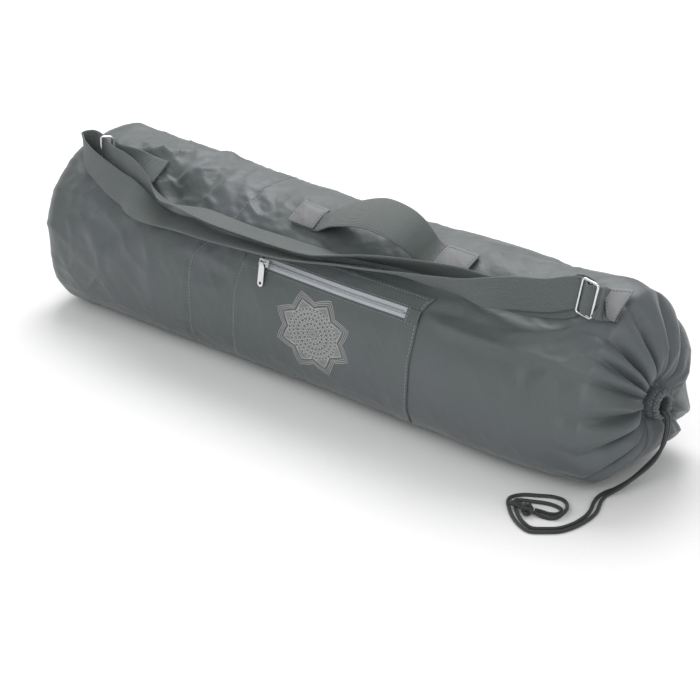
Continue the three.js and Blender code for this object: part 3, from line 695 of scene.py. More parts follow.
FOLDS = (
    Fold(0.976, -6, 0.29, 0.17, 0.079),
    Fold(0.211, 40, 0.27, 0.14, -0.073),
    Fold(0.075, 31, 0.19, 0.112, -0.05),
    Fold(0.875, 34, 0.38, 0.12, -0.056),
    Fold(0.015, -18, 0.146, 0.135, 0.05),
    Fold(1.01, 180, 0.34, 0.35, -0.079),
)
CREASES = (
    Crease(((-330, 57), (-296, 56), (-262, 64)), 7, 3.0),
    Crease(((-322, 72), (-285, 70), (-250, 74)), 9, -2.2),
    Crease(((-215, 62), (-250, 79), (-282, 94)), 9, -2.6),
    Crease(((-200, 68), (-228, 84), (-255, 100)), 10, 1.8),
    Crease(((-306, 100), (-283, 91), (-255, 84)), 9, 2.2),
    Crease(((-262, 14), (-229, 20), (-196, 26)), 7, -3.4),
    Crease(((-262, 4), (-232, 8), (-204, 12)), 8, 2.4),
    Crease(((-238, 26), (-211, 36), (-186, 48)), 6, 2.6),
    Crease(((-169, -6), (-154, 28), (-170, 46)), 8, -3.4),
    Crease(((-150, -12), (-138, 12), (-146, 32)), 7, 2.2),
    Crease(((-226, -2), (-200, 24), (-186, 42)), 10, -3.0),
    Crease(((-160, 30), (-142, 34), (-126, 38)), 4, 2.0),
    Crease(((-200, -30), (-176, -12), (-164, 0)), 10, 2.4),
    Crease(((-290, -10), (-262, -22), (-230, -26)), 10, -2.6),
    Crease(((-95, 34), (-84, 40), (-70, 42)), 4, 1.8),
    Crease(((-92, 20), (-78, 28), (-62, 30)), 5, -1.8),
    Crease(((-126, 68), (-101, 70), (-78, 71)), 5, 1.5),
    Crease(((-136, 87), (-106, 85), (-84, 83)), 6, 1.4),
    Crease(((-134, 78), (-110, 77), (-84, 77)), 6, -1.2),
    Crease(((160, 59), (192, 60), (243, 59), (289, 57), (312, 57), (326, 58)), 4.5, 3.9),
    Crease(((168, 66), (200, 67), (250, 66), (300, 65)), 9, -1.8),
    Crease(((150, 54), (172, 53), (210, 51), (250, 50)), 7, -2.2),
    Crease(((324, 62), (330, 72), (334, 90), (332, 115)), 6, 1.4),
    Crease(((318, 66), (320, 80), (322, 100)), 8, -1.2),
    Crease(((242, 64), (246, 78), (250, 96)), 9, -1.5),
    Crease(((271, 62), (276, 72), (282, 84)), 7, -1.6),
    Crease(((304, 64), (312, 78), (322, 96)), 7, -1.6),
    Crease(((-48, 6), (-8, 8), (30, 6)), 8, -1.8),
    Crease(((-30, 36), (0, 34), (34, 38)), 6, -1.6),
    Crease(((190, 4), (230, -2), (285, -8)), 10, 2.0),
    Crease(((175, -6), (215, -16), (260, -20)), 11, -2.2),
    Crease(((130, -4), (170, 2), (205, 16)), 9, 1.5),
    Crease(((150, -40), (190, -60), (240, -72)), 14, -2.5),
    Crease(((-40, -50), (-90, -70), (-150, -84)), 14, -2.5),
    Crease(((-300, -60), (-250, -80), (-190, -96)), 12, 2.5),
    Crease(((30, -80), (80, -96), (140, -104)), 16, -2.0),
)
RUFFLED = (
    Ruffled(-215, 12, 85, 42, 1.0),
    Ruffled(-300, 50, 45, 50, 0.7),
    Ruffled(-240, 92, 70, 30, 0.35),
    Ruffled(-60, 22, 60, 22, 0.6),
    Ruffled(-100, 62, 40, 30, 0.4),
    Ruffled(250, 0, 80, 28, 0.4),
    Ruffled(290, 55, 45, 25, 0.45),
    Ruffled(0, -90, 260, 60, 0.45),
    Ruffled(120, 8, 70, 25, 0.35),
)
# Height, width and seed of each size of crumple
CRUMPLES = ((2.0, 62, 5), (1.2, 30, 11), (0.45, 14, 23))
# Angle around the bag and x of the seam across it
SIDE_SEAM = (
    (-180, -128), (-120, -118), (-60, -104), (-7, -99.5), (45, -104), (71, -138), (93, -140), (130, -143),
    (180, -128),
)


def ripples(x: np.ndarray, arc: np.ndarray, size: float, seed: int) -> np.ndarray:
    """Sums a few warped waves into an uneven, repeatable relief.

    Args:
        x: Place along the bag in millimetres.
        arc: Place around the bag in millimetres.
        size: Rough width of a ripple.
        seed: Seed of its waves.

    Returns:
        The relief, mostly between -1 and 1.
    """
    chance = np.random.default_rng(seed)
    warp_x = x + 0.4 * size * np.sin(arc / size * 1.9 + chance.uniform(0, 6))
    warp_arc = arc + 0.4 * size * np.sin(x / size * 1.6 + chance.uniform(0, 6))
    total = np.zeros(np.broadcast(x, arc).shape)
    for _ in range(6):
        turn = chance.uniform(0, math.pi)
        wave = size * chance.uniform(1.1, 2.3)
        across = warp_x * math.cos(turn) + warp_arc * math.sin(turn)
        total += np.sin(2 * math.pi * across / wave + chance.uniform(0, 6))
    return total / 2.6


def ridged(relief: np.ndarray) -> np.ndarray:
    """Turns a relief into flat facets that meet in thin ridges."""
    return 1.0 - 2.0 * np.minimum(np.abs(relief), 1.0) ** 0.75


@dataclass(frozen=True)
class BagSkin:
    """The surface of the tube: its section, broad folds, creases and seams, all in millimetres."""

    width: float = 172.0
    height: float = 178.0
    length: float = 664.0
    middle_share: float = 0.43
    top_power: float = 2.2
    bottom_power: float = 2.9
    settle: float = 2.0
    stations: tuple[Vec3, ...] = (
        (0.0, 1.0, 0.99), (0.108, 1.0, 1.045), (0.259, 0.977, 1.017), (0.41, 0.959, 1.0),
        (0.59, 0.977, 0.983), (0.741, 1.029, 0.994), (0.892, 1.047, 0.966), (1.0, 0.988, 0.938),
    )

    @property
    def middle(self) -> float:
        """Returns the height of the middle of the section."""
        return self.middle_share * self.height

    def x_of(self, along: np.ndarray) -> np.ndarray:
        """Returns x for a place along the tube, given from 0 to 1."""
        return (along - 0.5) * self.length

    def share_of(self, x: np.ndarray) -> np.ndarray:
        """Returns the place along the tube, from 0 to 1, for x."""
        return x / self.length + 0.5

    def arc(self, around: np.ndarray) -> np.ndarray:
        """Returns the length around the bag for an angle."""
        return np.radians(around) * self.height / 2

    def angle(self, length: float) -> float:
        """Returns the angle around the bag for a length."""
        return math.degrees(2 * length / self.height)

    def reaches(self, along: np.ndarray) -> tuple[np.ndarray, np.ndarray]:
        """Returns the tube's width and height at a place."""
        table = np.array(self.stations)
        sizes = smoothed(table[:, 0], table[:, 1:], along)
        return self.width * sizes[..., 0], self.height * sizes[..., 1]

    def section(self, along: np.ndarray, around: np.ndarray) -> tuple[np.ndarray, np.ndarray]:
        """Returns y and z of the plain section."""
        wide, high = self.reaches(along)
        up, out = np.cos(np.radians(around)), np.sin(np.radians(around))
        middle = self.middle_share * high
        power = np.where(up >= 0, self.top_power, self.bottom_power)
        reach = np.where(up >= 0, high - middle, middle)
        y = -wide / 2 * np.sign(out) * np.abs(out) ** (2 / power)
        z = middle + np.sign(up) * reach * np.abs(up) ** (2 / power) - self.settle
        return y, z

    def front_angle(self, along: np.ndarray, height: np.ndarray) -> np.ndarray:
        """Returns the angle around the bag of a height on its front."""
        _, high = self.reaches(along)
        middle = self.middle_share * high
        over = height + self.settle - middle
        share = np.where(over >= 0, over / (high - middle), over / middle)
        power = np.where(over >= 0, self.top_power, self.bottom_power)
        return np.degrees(np.arccos(np.clip(np.sign(share) * np.abs(share) ** (power / 2), -1, 1)))

    def outward(self, along: np.ndarray, around: np.ndarray) -> np.ndarray:
        """Returns the outward direction across the bag."""
        y0, z0 = self.section(along, around - 0.1)
        y1, z1 = self.section(along, around + 0.1)
        return unit(np.stack([np.zeros_like(y0), z1 - z0, y0 - y1], axis=-1))

    def fold_rise(self, along: np.ndarray, around: np.ndarray) -> np.ndarray:
        """Returns the height of the broad folds."""
        rise = np.zeros(np.broadcast(along, around).shape)
        for fold in FOLDS:
            turned = (around - fold.around + 180) % FULL_TURN - 180
            down = (along - fold.along) * self.length / (fold.long * self.height)
            across = np.radians(turned) / 2 / fold.wide
            rise = rise + fold.rise * self.height * np.exp(-(down**2) - across**2)
        return rise

    def crease_rise(self, x: np.ndarray, around: np.ndarray) -> np.ndarray:
        """Returns the height of the narrow creases."""
        x, arc = np.broadcast_arrays(x, self.arc(around))
        rise = np.zeros(x.shape)
        for crease in CREASES:
            line = catmull_rom([(px, self.arc(np.array(angle))) for px, angle in crease.places], 5)
            low, high = line.min(axis=0) - 3 * crease.wide, line.max(axis=0) + 3 * crease.wide
            near = (x > low[0]) & (x < high[0]) & (arc > low[1]) & (arc < high[1])
            spots = np.stack([x[near], arc[near]], axis=-1)
            nearest = np.full(len(spots), 1e9)
            share = np.zeros(len(spots))
            for index, (start, end) in enumerate(zip(line[:-1], line[1:])):
                step = end - start
                t = np.clip((spots - start) @ step / (step @ step), 0, 1)
                away = np.linalg.norm(spots - start - t[:, None] * step, axis=1)
                share = np.where(away < nearest, (index + t) / (len(line) - 1), share)
                nearest = np.minimum(away, nearest)
            fade = np.sin(np.pi * np.clip(share, 0.02, 0.98)) ** 0.6
            rise[near] += crease.rise * fade * np.exp(-((nearest / crease.wide) ** 1.6))
        return rise

    def seam_x(self, around: np.ndarray) -> np.ndarray:
        """Returns where the seam across the tube runs."""
        angles = [row[0] for row in SIDE_SEAM]
        return smoothed(angles, np.array([row[1] for row in SIDE_SEAM]), around)

    def detail(self, along: np.ndarray, around: np.ndarray) -> np.ndarray:
        """Returns the height of creases, crumples and the sewn seam.

        Args:
            along: Place along the tube, from 0 to 1.
            around: Angle from the crown towards the front.

        Returns:
            The height over the broad folds.
        """
        x = self.x_of(along)
        turned = (around + 180) % FULL_TURN - 180
        arc = self.arc(turned)
        weight = np.full(np.broadcast(along, around).shape, 0.2)
        for spot in RUFFLED:
            weight += spot.share * hump(x - spot.x, spot.long) * hump(turned - spot.around, spot.wide)
        under = ramp(np.abs(turned), 125, 30)
        weight = weight * (1 - under)
        rise = 1.25 * self.crease_rise(x, turned) * (1 - under)
        for height, size, seed in CRUMPLES:
            rise += height * weight * ridged(ripples(x, arc, size, seed))
        rise += 0.8 * (1 - under) * ripples(x, arc, 120, 3)
        away = x - self.seam_x(turned)
        pucker = 0.35 * np.sin(arc / 2.3 + 1.3 * np.sin(arc / 7)) * hump(away, 9)
        groove = 0.7 * hump(away - 4, 2.6) - 1.5 * hump(away, 1.9)
        return rise + (pucker + groove) * (1 - under)

    def point(self, along: object, around: object, lift: object = 0.0, detail: object = 1.0) -> np.ndarray:
        """Returns points of the cloth.

        Args:
            along: Place along the tube, from 0 to 1.
            around: Angle from the crown towards the front.
            lift: Height over the cloth.
            detail: Share of the small relief that is followed.

        Returns:
            Points in millimetres.
        """
        given = (np.asarray(value, float) for value in (along, around, lift, detail))
        along, around, lift, detail = np.broadcast_arrays(*given)
        y, z = self.section(along, around)
        base = np.stack([self.x_of(along), y, np.maximum(z, 0)], axis=-1)
        rise = lift + self.fold_rise(along, around)
        if detail.any():
            rise = rise + detail * self.detail(along, around)
        moved = base + self.outward(along, around) * rise[..., None]
        moved[..., 2] = np.maximum(moved[..., 2], 0.0)
        return moved

    def plain(self, along: float, around: float, lift: float) -> np.ndarray:
        """Returns a point lifted off the plain section, which has no folds."""
        y, z = self.section(np.array(along), np.array(around))
        base = np.array([self.x_of(along), float(y), max(float(z), 0.0)])
        return base + self.outward(np.array(along), np.array(around)) * lift


SKIN = BagSkin()


def skin_sheet(
    shell: Shell, along: np.ndarray, around: np.ndarray, seat: object, thick: float, detail: float = 1.0,
) -> None:
    """Adds a sheet of cloth that lies on the bag.

    Args:
        shell: Mesh that takes it.
        along: Places along the bag by row and column.
        around: Angles by row and column.
        seat: Height of its underside over the cloth.
        thick: Its thickness.
        detail: Share of the small relief that it follows.
    """
    band(shell, SKIN.point(along, around, np.asarray(seat) + thick / 2, detail), thick)


def corner_grid(corners: Corners, rows: int, columns: int, round_off: float) -> Pair:
    """Spreads a grid between four corners, given as along and around.

    Args:
        corners: The near left, near right, far right and far left corners.
        rows: Steps along.
        columns: Steps around.
        round_off: How far the corners are drawn in, as a share of the sheet.

    Returns:
        Along and around, by row and column.
    """
    u, v = np.meshgrid(np.linspace(0, 1, rows + 1), np.linspace(0, 1, columns + 1), indexing="ij")
    side_u, side_v = 2 * u - 1, 2 * v - 1
    u = (1 + side_u * (1 - round_off * side_v**6)) / 2
    v = (1 + side_v * (1 - round_off * side_u**6)) / 2
    a, b, c, d = (np.array(corner) for corner in corners)
    near = a + (b - a) * u[..., None]
    far = d + (c - d) * u[..., None]
    spread = near + (far - near) * v[..., None]
    return spread[..., 0], spread[..., 1]


# Cords, sewing and small hardware


PATCH_SHEET = 1.2
STITCH_LENGTH = 2.7
STITCH_PITCH = 3.6
THREAD = 0.34


def stitch_row(shell: Shell, route: np.ndarray) -> None:
    """Adds a row of stitches along a route.

    Args:
        shell: Mesh that takes them.
        route: Points on the cloth.
    """
    run = run_along(route)
    for start in np.arange(0.4, run[-1] - STITCH_LENGTH, STITCH_PITCH):
        first, last = on_line(route, run, np.array([start, start + STITCH_LENGTH]))
        middle = (first + last) / 2 * MM
        reach = Vector((last - first) * MM)
        turn = reach.to_track_quat("X", "Z").to_matrix().to_4x4()
        size = Matrix.Diagonal((reach.length / 2, THREAD * 1.3 * MM, THREAD * MM, 1.0))
        place = Matrix.Translation(Vector(middle)) @ turn @ size
        bmesh.ops.create_icosphere(shell.bm, subdivisions=1, radius=1.0, matrix=place, calc_uvs=True)


def skin_line(start: Sequence[float], end: Sequence[float], lift: float, detail: float) -> np.ndarray:
    """Returns a line on the bag between two places, each given as along and around."""
    along_step, around_step = end[0] - start[0], end[1] - start[1]
    steps = max(2, int(np.hypot(along_step * SKIN.length, SKIN.arc(np.array(around_step))) / 3))
    share = np.arange(steps + 1) / steps
    return SKIN.point(start[0] + along_step * share, start[1] + around_step * share, lift, detail)


class Workshop:
    """Holds the materials and finishes the pieces."""

    def __init__(self) -> None:
        """Builds the shader groups once and each finish's material."""
        groups = {"weave": weave_group(), "mottle": mottle_group()}
        self.materials = {name: finish.material(groups) for name, finish in FINISHES.items()}

    def hand_over(self, shell: Shell, finish: str, *nodes: str) -> bpy.types.Object:
        """Finishes a piece.

        Args:
            shell: The piece's mesh.
            finish: Name of its finish.
            nodes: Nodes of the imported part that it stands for.

        Returns:
            The piece.
        """
        piece = shell.finish(self.materials[finish])
        if nodes:
            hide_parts(*nodes)
        return piece


# Studio


@dataclass(frozen=True)
class Studio:
    """The plain pale floor, the soft lights and the camera of the picture."""

    azimuth: float = 41.0
    elevation: float = 23.0
    view_angle: float = 17.5
    distance: float = 2.213
    target: Vec3 = (0.0, 0.0, 0.08)
    shift: tuple[float, float] = (0.0007, -0.075)
    surround: float = 0.62
    lamps: tuple[tuple[str, Vec3, float, float], ...] = (
        ("key_light", (-0.7, 0.9, 2.0), 1.5, 40.0),
        ("front_light", (0.8, -2.2, 1.5), 1.4, 20.0),
        ("end_light", (2.2, -1.2, 1.7), 1.0, 9.0),
    )

    def build(self) -> None:
        """Sets up the camera, the floor and the lights."""
        self.camera()
        self.floor()
        self.lights()

    def camera(self) -> None:
        """Creates the camera and makes it the scene's."""
        data = bpy.data.cameras.new("studio_camera")
        data.sensor_width = 36.0
        data.sensor_fit = "HORIZONTAL"
        data.lens = 18.0 / math.tan(math.radians(self.view_angle) / 2)
        data.shift_x, data.shift_y = self.shift
        data.clip_start, data.clip_end = 0.05, 50.0
        camera = bpy.data.objects.new("studio_camera", data)
        az, el = math.radians(self.azimuth), math.radians(self.elevation)
        back = Vector((math.sin(az) * math.cos(el), -math.cos(az) * math.cos(el), math.sin(el)))
        camera.location = Vector(self.target) + back * self.distance
        camera.rotation_euler = back.to_track_quat("Z", "Y").to_euler()
        bpy.context.scene.collection.objects.link(camera)
        bpy.context.scene.camera = camera

    def floor(self) -> None:
        """Lays the pale floor."""
        bm = bmesh.new()
        bmesh.ops.create_grid(bm, x_segments=2, y_segments=2, size=9.0)
        mesh = bpy.data.meshes.new("studio_floor")
        bm.to_mesh(mesh)
        bm.free()
        material, sheet, shader, coords = new_material("pale_paper")
        grain = sheet.noise(coords.outputs["Object"], 300.0)
        shade = sheet.remap(grain, 0.3, 0.7, 0.0, 1.0)
        color = sheet.blend(shade, (0.86, 0.86, 0.86, 1), (0.88, 0.88, 0.88, 1))
        sheet.join(color, shader.inputs["Base Color"])
        shader.inputs["Roughness"].default_value = 0.9
        mesh.materials.append(material)
        floor = bpy.data.objects.new("studio_floor", mesh)
        bpy.context.scene.collection.objects.link(floor)

    def lights(self) -> None:
        """Hangs the soft lights and sets the even surround."""
        for lamp in self.lamps:
            self.lamp(*lamp)
        bpy.context.scene.view_settings.view_transform = "Standard"
        world = bpy.data.worlds.new("studio_surround")
        world.use_nodes = True
        background = world.node_tree.nodes["Background"]
        background.inputs[0].default_value = (1.0, 1.0, 1.0, 1.0)
        background.inputs[1].default_value = self.surround
        bpy.context.scene.world = world

    def lamp(self, name: str, place: Vec3, size: float, power: float) -> None:
        """Hangs one square lamp that faces the bag.

        Args:
            name: Its name.
            place: Where it hangs.
            size: Side of the lamp in metres.
            power: Its power in watts.
        """
        data = bpy.data.lights.new(name, "AREA")
        data.size = size
        data.energy = power
        lamp = bpy.data.objects.new(name, data)
        lamp.location = place
        lamp.rotation_euler = (Vector(place) - Vector(self.target)).to_track_quat("Z", "Y").to_euler()
        bpy.context.scene.collection.objects.link(lamp)


# The drawcord


@dataclass(frozen=True)
class Drawcord:
    """Two strands from the mouth to their knot on the floor; strands in metres, knot in millimetres."""

    width: float = 0.0035
    strand_a: tuple[Vec3, ...] = (
        (0.358, -0.0019, 0.073), (0.365, -0.0019, 0.073), (0.3694, -0.0023, 0.0702),
        (0.3713, -0.0036, 0.063), (0.3712, -0.006, 0.05), (0.3696, -0.0098, 0.038),
        (0.366, -0.017, 0.028), (0.358, -0.029, 0.017), (0.35, -0.041, 0.008), (0.343, -0.049, 0.0022),
        (0.345, -0.06, 0.0018), (0.349, -0.069, 0.0018), (0.353, -0.078, 0.0018),
        (0.3555, -0.087, 0.0018), (0.3565, -0.102, 0.0018), (0.355, -0.116, 0.0018),
        (0.3505, -0.129, 0.0018), (0.34, -0.1395, 0.0018), (0.33, -0.146, 0.0018),
        (0.316, -0.142, 0.0018), (0.302, -0.133, 0.0018), (0.291, -0.123, 0.0018),
        (0.2835, -0.1145, 0.0018), (0.281, -0.1075, 0.0018), (0.283, -0.101, 0.0018),
        (0.288, -0.095, 0.0018), (0.297, -0.089, 0.0018), (0.309, -0.082, 0.0018),
        (0.318, -0.081, 0.0018), (0.325, -0.0845, 0.0018), (0.3305, -0.0915, 0.0032),
        (0.3355, -0.0995, 0.0056), (0.337, -0.1065, 0.0052), (0.335, -0.112, 0.003),
        (0.3305, -0.1155, 0.0018), (0.323, -0.1175, 0.0018), (0.3147, -0.1191, 0.0036),
    )
    strand_b: tuple[Vec3, ...] = (
        (0.358, 0.0018, 0.073), (0.365, 0.0018, 0.073), (0.3694, 0.0014, 0.0702),
        (0.3712, 0.0001, 0.063), (0.3708, -0.0022, 0.05), (0.368, -0.006, 0.038),
        (0.361, -0.014, 0.025), (0.352, -0.025, 0.012), (0.343, -0.036, 0.0036),
        (0.3385, -0.045, 0.0019), (0.3385, -0.056, 0.0018), (0.342, -0.068, 0.0018),
        (0.3475, -0.08, 0.0018), (0.3505, -0.09, 0.0018), (0.3515, -0.101, 0.0018),
        (0.3502, -0.114, 0.0018), (0.346, -0.1255, 0.0018), (0.3375, -0.134, 0.0018),
        (0.3285, -0.14, 0.0018), (0.3175, -0.1368, 0.0018), (0.3055, -0.129, 0.0018),
        (0.2955, -0.1195, 0.0018), (0.2895, -0.1125, 0.0018), (0.2878, -0.109, 0.0018),
        (0.291, -0.1055, 0.0018), (0.299, -0.1015, 0.0018), (0.308, -0.097, 0.0018),
        (0.319, -0.0945, 0.0018), (0.327, -0.096, 0.0018), (0.331, -0.101, 0.0018),
        (0.3295, -0.1065, 0.0018), (0.324, -0.11, 0.0018), (0.3175, -0.1116, 0.0024),
        (0.3131, -0.1151, 0.0038),
    )
    knot_centre: Vec3 = (308.5, -120.0, 4.9)
    knot_turn: float = 43.0
    knot_reach: float = 7.6
    knot_turns: float = 1.1
    tails: tuple[tuple[Vec3, ...], ...] = (
        ((306.5, -117.0, 5.0), (302.0, -116.8, 5.2), (296.5, -117.8, 5.6), (290.5, -119.4, 5.6)),
        ((305.5, -121.0, 4.2), (301.5, -120.6, 4.6), (297.0, -121.4, 5.9), (292.5, -123.6, 6.0)),
    )

    def build(self, shop: Workshop) -> None:
        """Makes the strands and their knot."""
        knot = self.knot(shop)
        for name, route in (("a", self.strand_a), ("b", self.strand_b)):
            drawn = catmull_rom(route, 6) / MM
            shell = Shell(f"cord_strand_{name}")
            tube(shell, drawn, self.width / MM / 2, 12)
            shell.close()
            piece = shop.hand_over(shell, "cord", f"drawcord_strand_{name}")

    def knot(self, shop: Workshop) -> bpy.types.Object:
        """Winds the knot of both strands, with two short tails.

        Args:
            shop: The workshop.

        Returns:
            The knot.
        """
        turn = math.radians(self.knot_turn)
        long_way = np.array([-math.sin(turn), math.cos(turn), 0.0])
        wide_way = np.array([math.cos(turn), math.sin(turn), 0.0])
        up = np.array([0.0, 0.0, 1.0])
        centre = np.array(self.knot_centre)
        shell = Shell("cord_knot")
        radius = self.width / MM / 2
        for start in (0.0, math.pi):
            t = np.linspace(0.0, 1.0, 60)
            angle = start + t * 2 * math.pi * self.knot_turns
            wrap = (
                centre
                + long_way * (self.knot_reach * (2 * t - 1))[:, None]
                + wide_way * (3.0 * np.cos(angle))[:, None]
                + up * (2.5 * np.sin(angle))[:, None]
            )
            tube(shell, wrap, radius, 10)
        t = np.linspace(0.0, 1.0, 40)
        angle = t * 2 * math.pi
        belt = centre + wide_way * (4.1 * np.cos(angle))[:, None] + up * (3.2 * np.sin(angle))[:, None]
        belt = belt + long_way * (1.4 * np.sin(angle))[:, None]
        tube(shell, belt, radius * 0.95, 10, closed=True)
        for tail in self.tails:
            tube(shell, catmull_rom(tail, 6), radius * 0.95, 10)
        shell.close()
        return shop.hand_over(shell, "cord", "drawcord_knot")


# The cloth body


@dataclass(frozen=True)
class BagCloth:
    """The tube's cloth with its base end, gathered end and cord casing."""

    base_depth: float = 30.0
    mouth_depth: float = 28.0
    mouth_radius: float = 8.5
    mouth_height: float = 79.0
    casing_reach: float = 7.0
    casing_wall: float = 4.0
    columns: int = 264
    pleat_dip: float = 4.2
    lining_gap: float = 3.4
    lining_columns: int = 132
    lining_rows: int = 110
    lining_rim: float = 6.0
    lining_corner: float = 3.0
    lining_base: float = 2.6
    lining_mouth: float = 11.0
    lining_floor: float = 1.5
    casing_seams: tuple[tuple[float, float], ...] = ((4.9, 360.0), (4.7, 363.6))
    base_rings: tuple[tuple[float, float], ...] = (
        (0.0, 1.0), (0.3, 0.985), (0.66, 0.86), (0.86, 0.62), (0.96, 0.31),
    )
    mouth_rings: tuple[Vec3, ...] = (
        (0.985, 0.11, 0.03), (0.93, 0.3, 0.1), (0.84, 0.52, 0.18), (0.7, 0.76, 0.27), (0.54, 0.95, 0.31),
        (0.39, 0.99, 0.25), (0.26, 0.84, 0.12), (0.17, 0.7, 0.03),
    )
    valleys: tuple[float, ...] = (-156, -122, -88, -45, -16, 8, 31, 46, 60, 84, 99, 126, 158)
    depths: tuple[float, ...] = (0.9, 1.0, 0.9, 1.0, 1.1, 1.0, 1.25, 1.2, 0.9, 1.3, 1.0, 1.15, 0.95)

    def build(self, shop: Workshop) -> None:
        """Makes the outer cloth and the lining side of it."""
        around = np.linspace(-180.0, 180.0, self.columns + 1)
        rows, flat = self.outer(around)
        shell = Shell("bag_cloth")
        shell.add(rows, flat)
        shell.weld()
        shop.hand_over(shell, "nylon", "bag_body")
        self.lining(shop)
        self.sewing(shop)

    def crest(self, around: np.ndarray) -> tuple[np.ndarray, np.ndarray]:
        """Returns how high each angle stands on its pleat, and the pleat's depth."""
        marks = np.array([*self.valleys, self.valleys[0] + FULL_TURN])
        turned = (around - marks[0]) % FULL_TURN + marks[0]
        pleat = np.clip(np.searchsorted(marks, turned, side="right") - 1, 0, len(self.valleys) - 1)
        share = (turned - marks[pleat]) / (marks[pleat + 1] - marks[pleat])
        near = np.where(share < 0.5, pleat, (pleat + 1) % len(self.depths))
        return np.abs(np.sin(np.pi * share)) ** 0.72, np.array(self.depths)[near]

    def cap(self, rim: np.ndarray, reach: float, x: float, centre: float) -> np.ndarray:
        """Returns a ring that is a share of the rim about a middle line."""
        ring = rim.copy()
        ring[:, 0] = x
        ring[:, 1] = rim[:, 1] * reach
        ring[:, 2] = centre + (rim[:, 2] - centre) * reach
        return ring

    def base_caps(self, rim: np.ndarray, inset: float) -> list[np.ndarray]:
        """Returns the rings of the base end, from its middle outwards."""
        start = inset - SKIN.length / 2
        places = [(reach, start - self.base_depth * out) for reach, out in self.base_rings]
        return [self.cap(rim, reach, x, SKIN.middle) for reach, x in places]

    def mouth_ring(self, x: object, radius: object, around: np.ndarray) -> np.ndarray:
        """Returns a ring about the middle of the mouth."""
        turned = np.radians(around)
        y = -radius * np.sin(turned)
        z = self.mouth_height + radius * np.cos(turned)
        return np.stack(np.broadcast_arrays(x, y, z), axis=-1)

    def outer(self, around: np.ndarray) -> Pair:
        """Works out the outer cloth from the base to the inside of the casing.

        Args:
            around: Angles of the columns.

        Returns:
            Points by row and column, and their flat map.
        """
        half = SKIN.length / 2
        turned = np.radians(around)
        start_rim = SKIN.point(0.0, around)
        crest, depth = self.crest(around)
        base = self.ease([*self.base_caps(start_rim, 0.0), start_rim], 26)[:-1]
        bulge = 1.4 * ripples(base[..., 1], base[..., 2], 46, 8)
        bulge += 0.9 * ridged(ripples(base[..., 1], base[..., 2], 24, 9))
        base[..., 0] -= bulge * np.sin(np.linspace(0, np.pi, len(base)))[:, None] ** 0.5
        along = np.concatenate([np.linspace(0, 0.9, 182)[:-1], np.linspace(0.9, 1.0, 26)])
        tube_rows = SKIN.point(along[:, None], around[None, :])
        pull = ramp(along, 0.93, 0.07)[:, None] ** 2
        dip = (1.0 - crest) * depth * self.pleat_dip * pull
        dip = dip * (1 - ramp(np.abs(around), 125, 25))
        tube_rows -= SKIN.outward(along[:, None], around[None, :]) * dip[..., None]
        end_rim = tube_rows[-1]
        rings = [end_rim]
        for reach, out, pleat in self.mouth_rings:
            centre = self.mouth_height + (SKIN.middle - self.mouth_height) * reach
            ring = self.cap(end_rim, reach, half + self.mouth_depth * out, centre)
            small = 0.24 * np.sin(turned * 26 + 1.5 * np.sin(turned * 5)) * (1 - reach) ** 1.4
            relief = pleat * depth * 1.35 * (0.8 - 1.05 * (crest + small))
            ring[:, 0] -= self.mouth_depth * relief
            tuck = (1 - crest) * depth * 0.13 * math.sin(math.pi * reach)
            ring[:, 1:] -= (ring[:, 1:] - (0.0, centre)) * tuck[:, None]
            rings.append(ring)
        lip = half + self.mouth_depth
        wall, reach = self.casing_wall, self.casing_reach
        quiet = 1 - ramp(np.abs(around), 140, 15)
        frill = np.sin(turned * 17 + 1.2 * np.sin(turned * 3)) * quiet
        for radius, x, wave in (
            (self.mouth_radius + wall + 1.2, lip - reach / 2, 1.0),
            (self.mouth_radius + wall, lip - 0.5, 1.3),
            (self.mouth_radius + wall + 0.6, lip + reach - 2.4, 1.5),
            (self.mouth_radius + wall / 2, lip + reach - 0.3, 0.9),
            (self.mouth_radius, lip + reach - 2, 0.3),
            (self.mouth_radius - 0.2, lip, 0.0),
            (self.mouth_radius, lip - reach, 0.0),
        ):
            size = radius + wave * (0.9 * frill)
            waved = x + 0.5 * wave * np.sin(turned * 11) * quiet
            rings.append(self.mouth_ring(waved, size, around))
        mouth = self.ease(rings, 86)[1:]
        crumpled = ridged(ripples(mouth[..., 1], mouth[..., 2], 20, 14))
        fade = np.clip(np.linspace(0, 4, len(mouth)), 0, 1)
        fade *= np.clip(np.linspace(3.2, -1.2, len(mouth)), 0, 1)
        mouth[..., 0] += 0.5 * crumpled * fade[:, None]
        rows = np.concatenate([base, tube_rows, mouth])
        return rows, flat_map(SKIN.arc(around), row_lengths(rows))

    def ease(self, rings: Sequence[np.ndarray], count: int) -> np.ndarray:
        """Draws smooth rows through a few rings, evenly spaced along the cloth."""
        table = np.array(rings)
        steps = np.linalg.norm(np.diff(table, axis=0), axis=2).mean(axis=1)
        keys = np.concatenate([[0.0], np.cumsum(np.maximum(steps, 0.5))])
        return smoothed(keys, table, np.linspace(0, keys[-1], count))

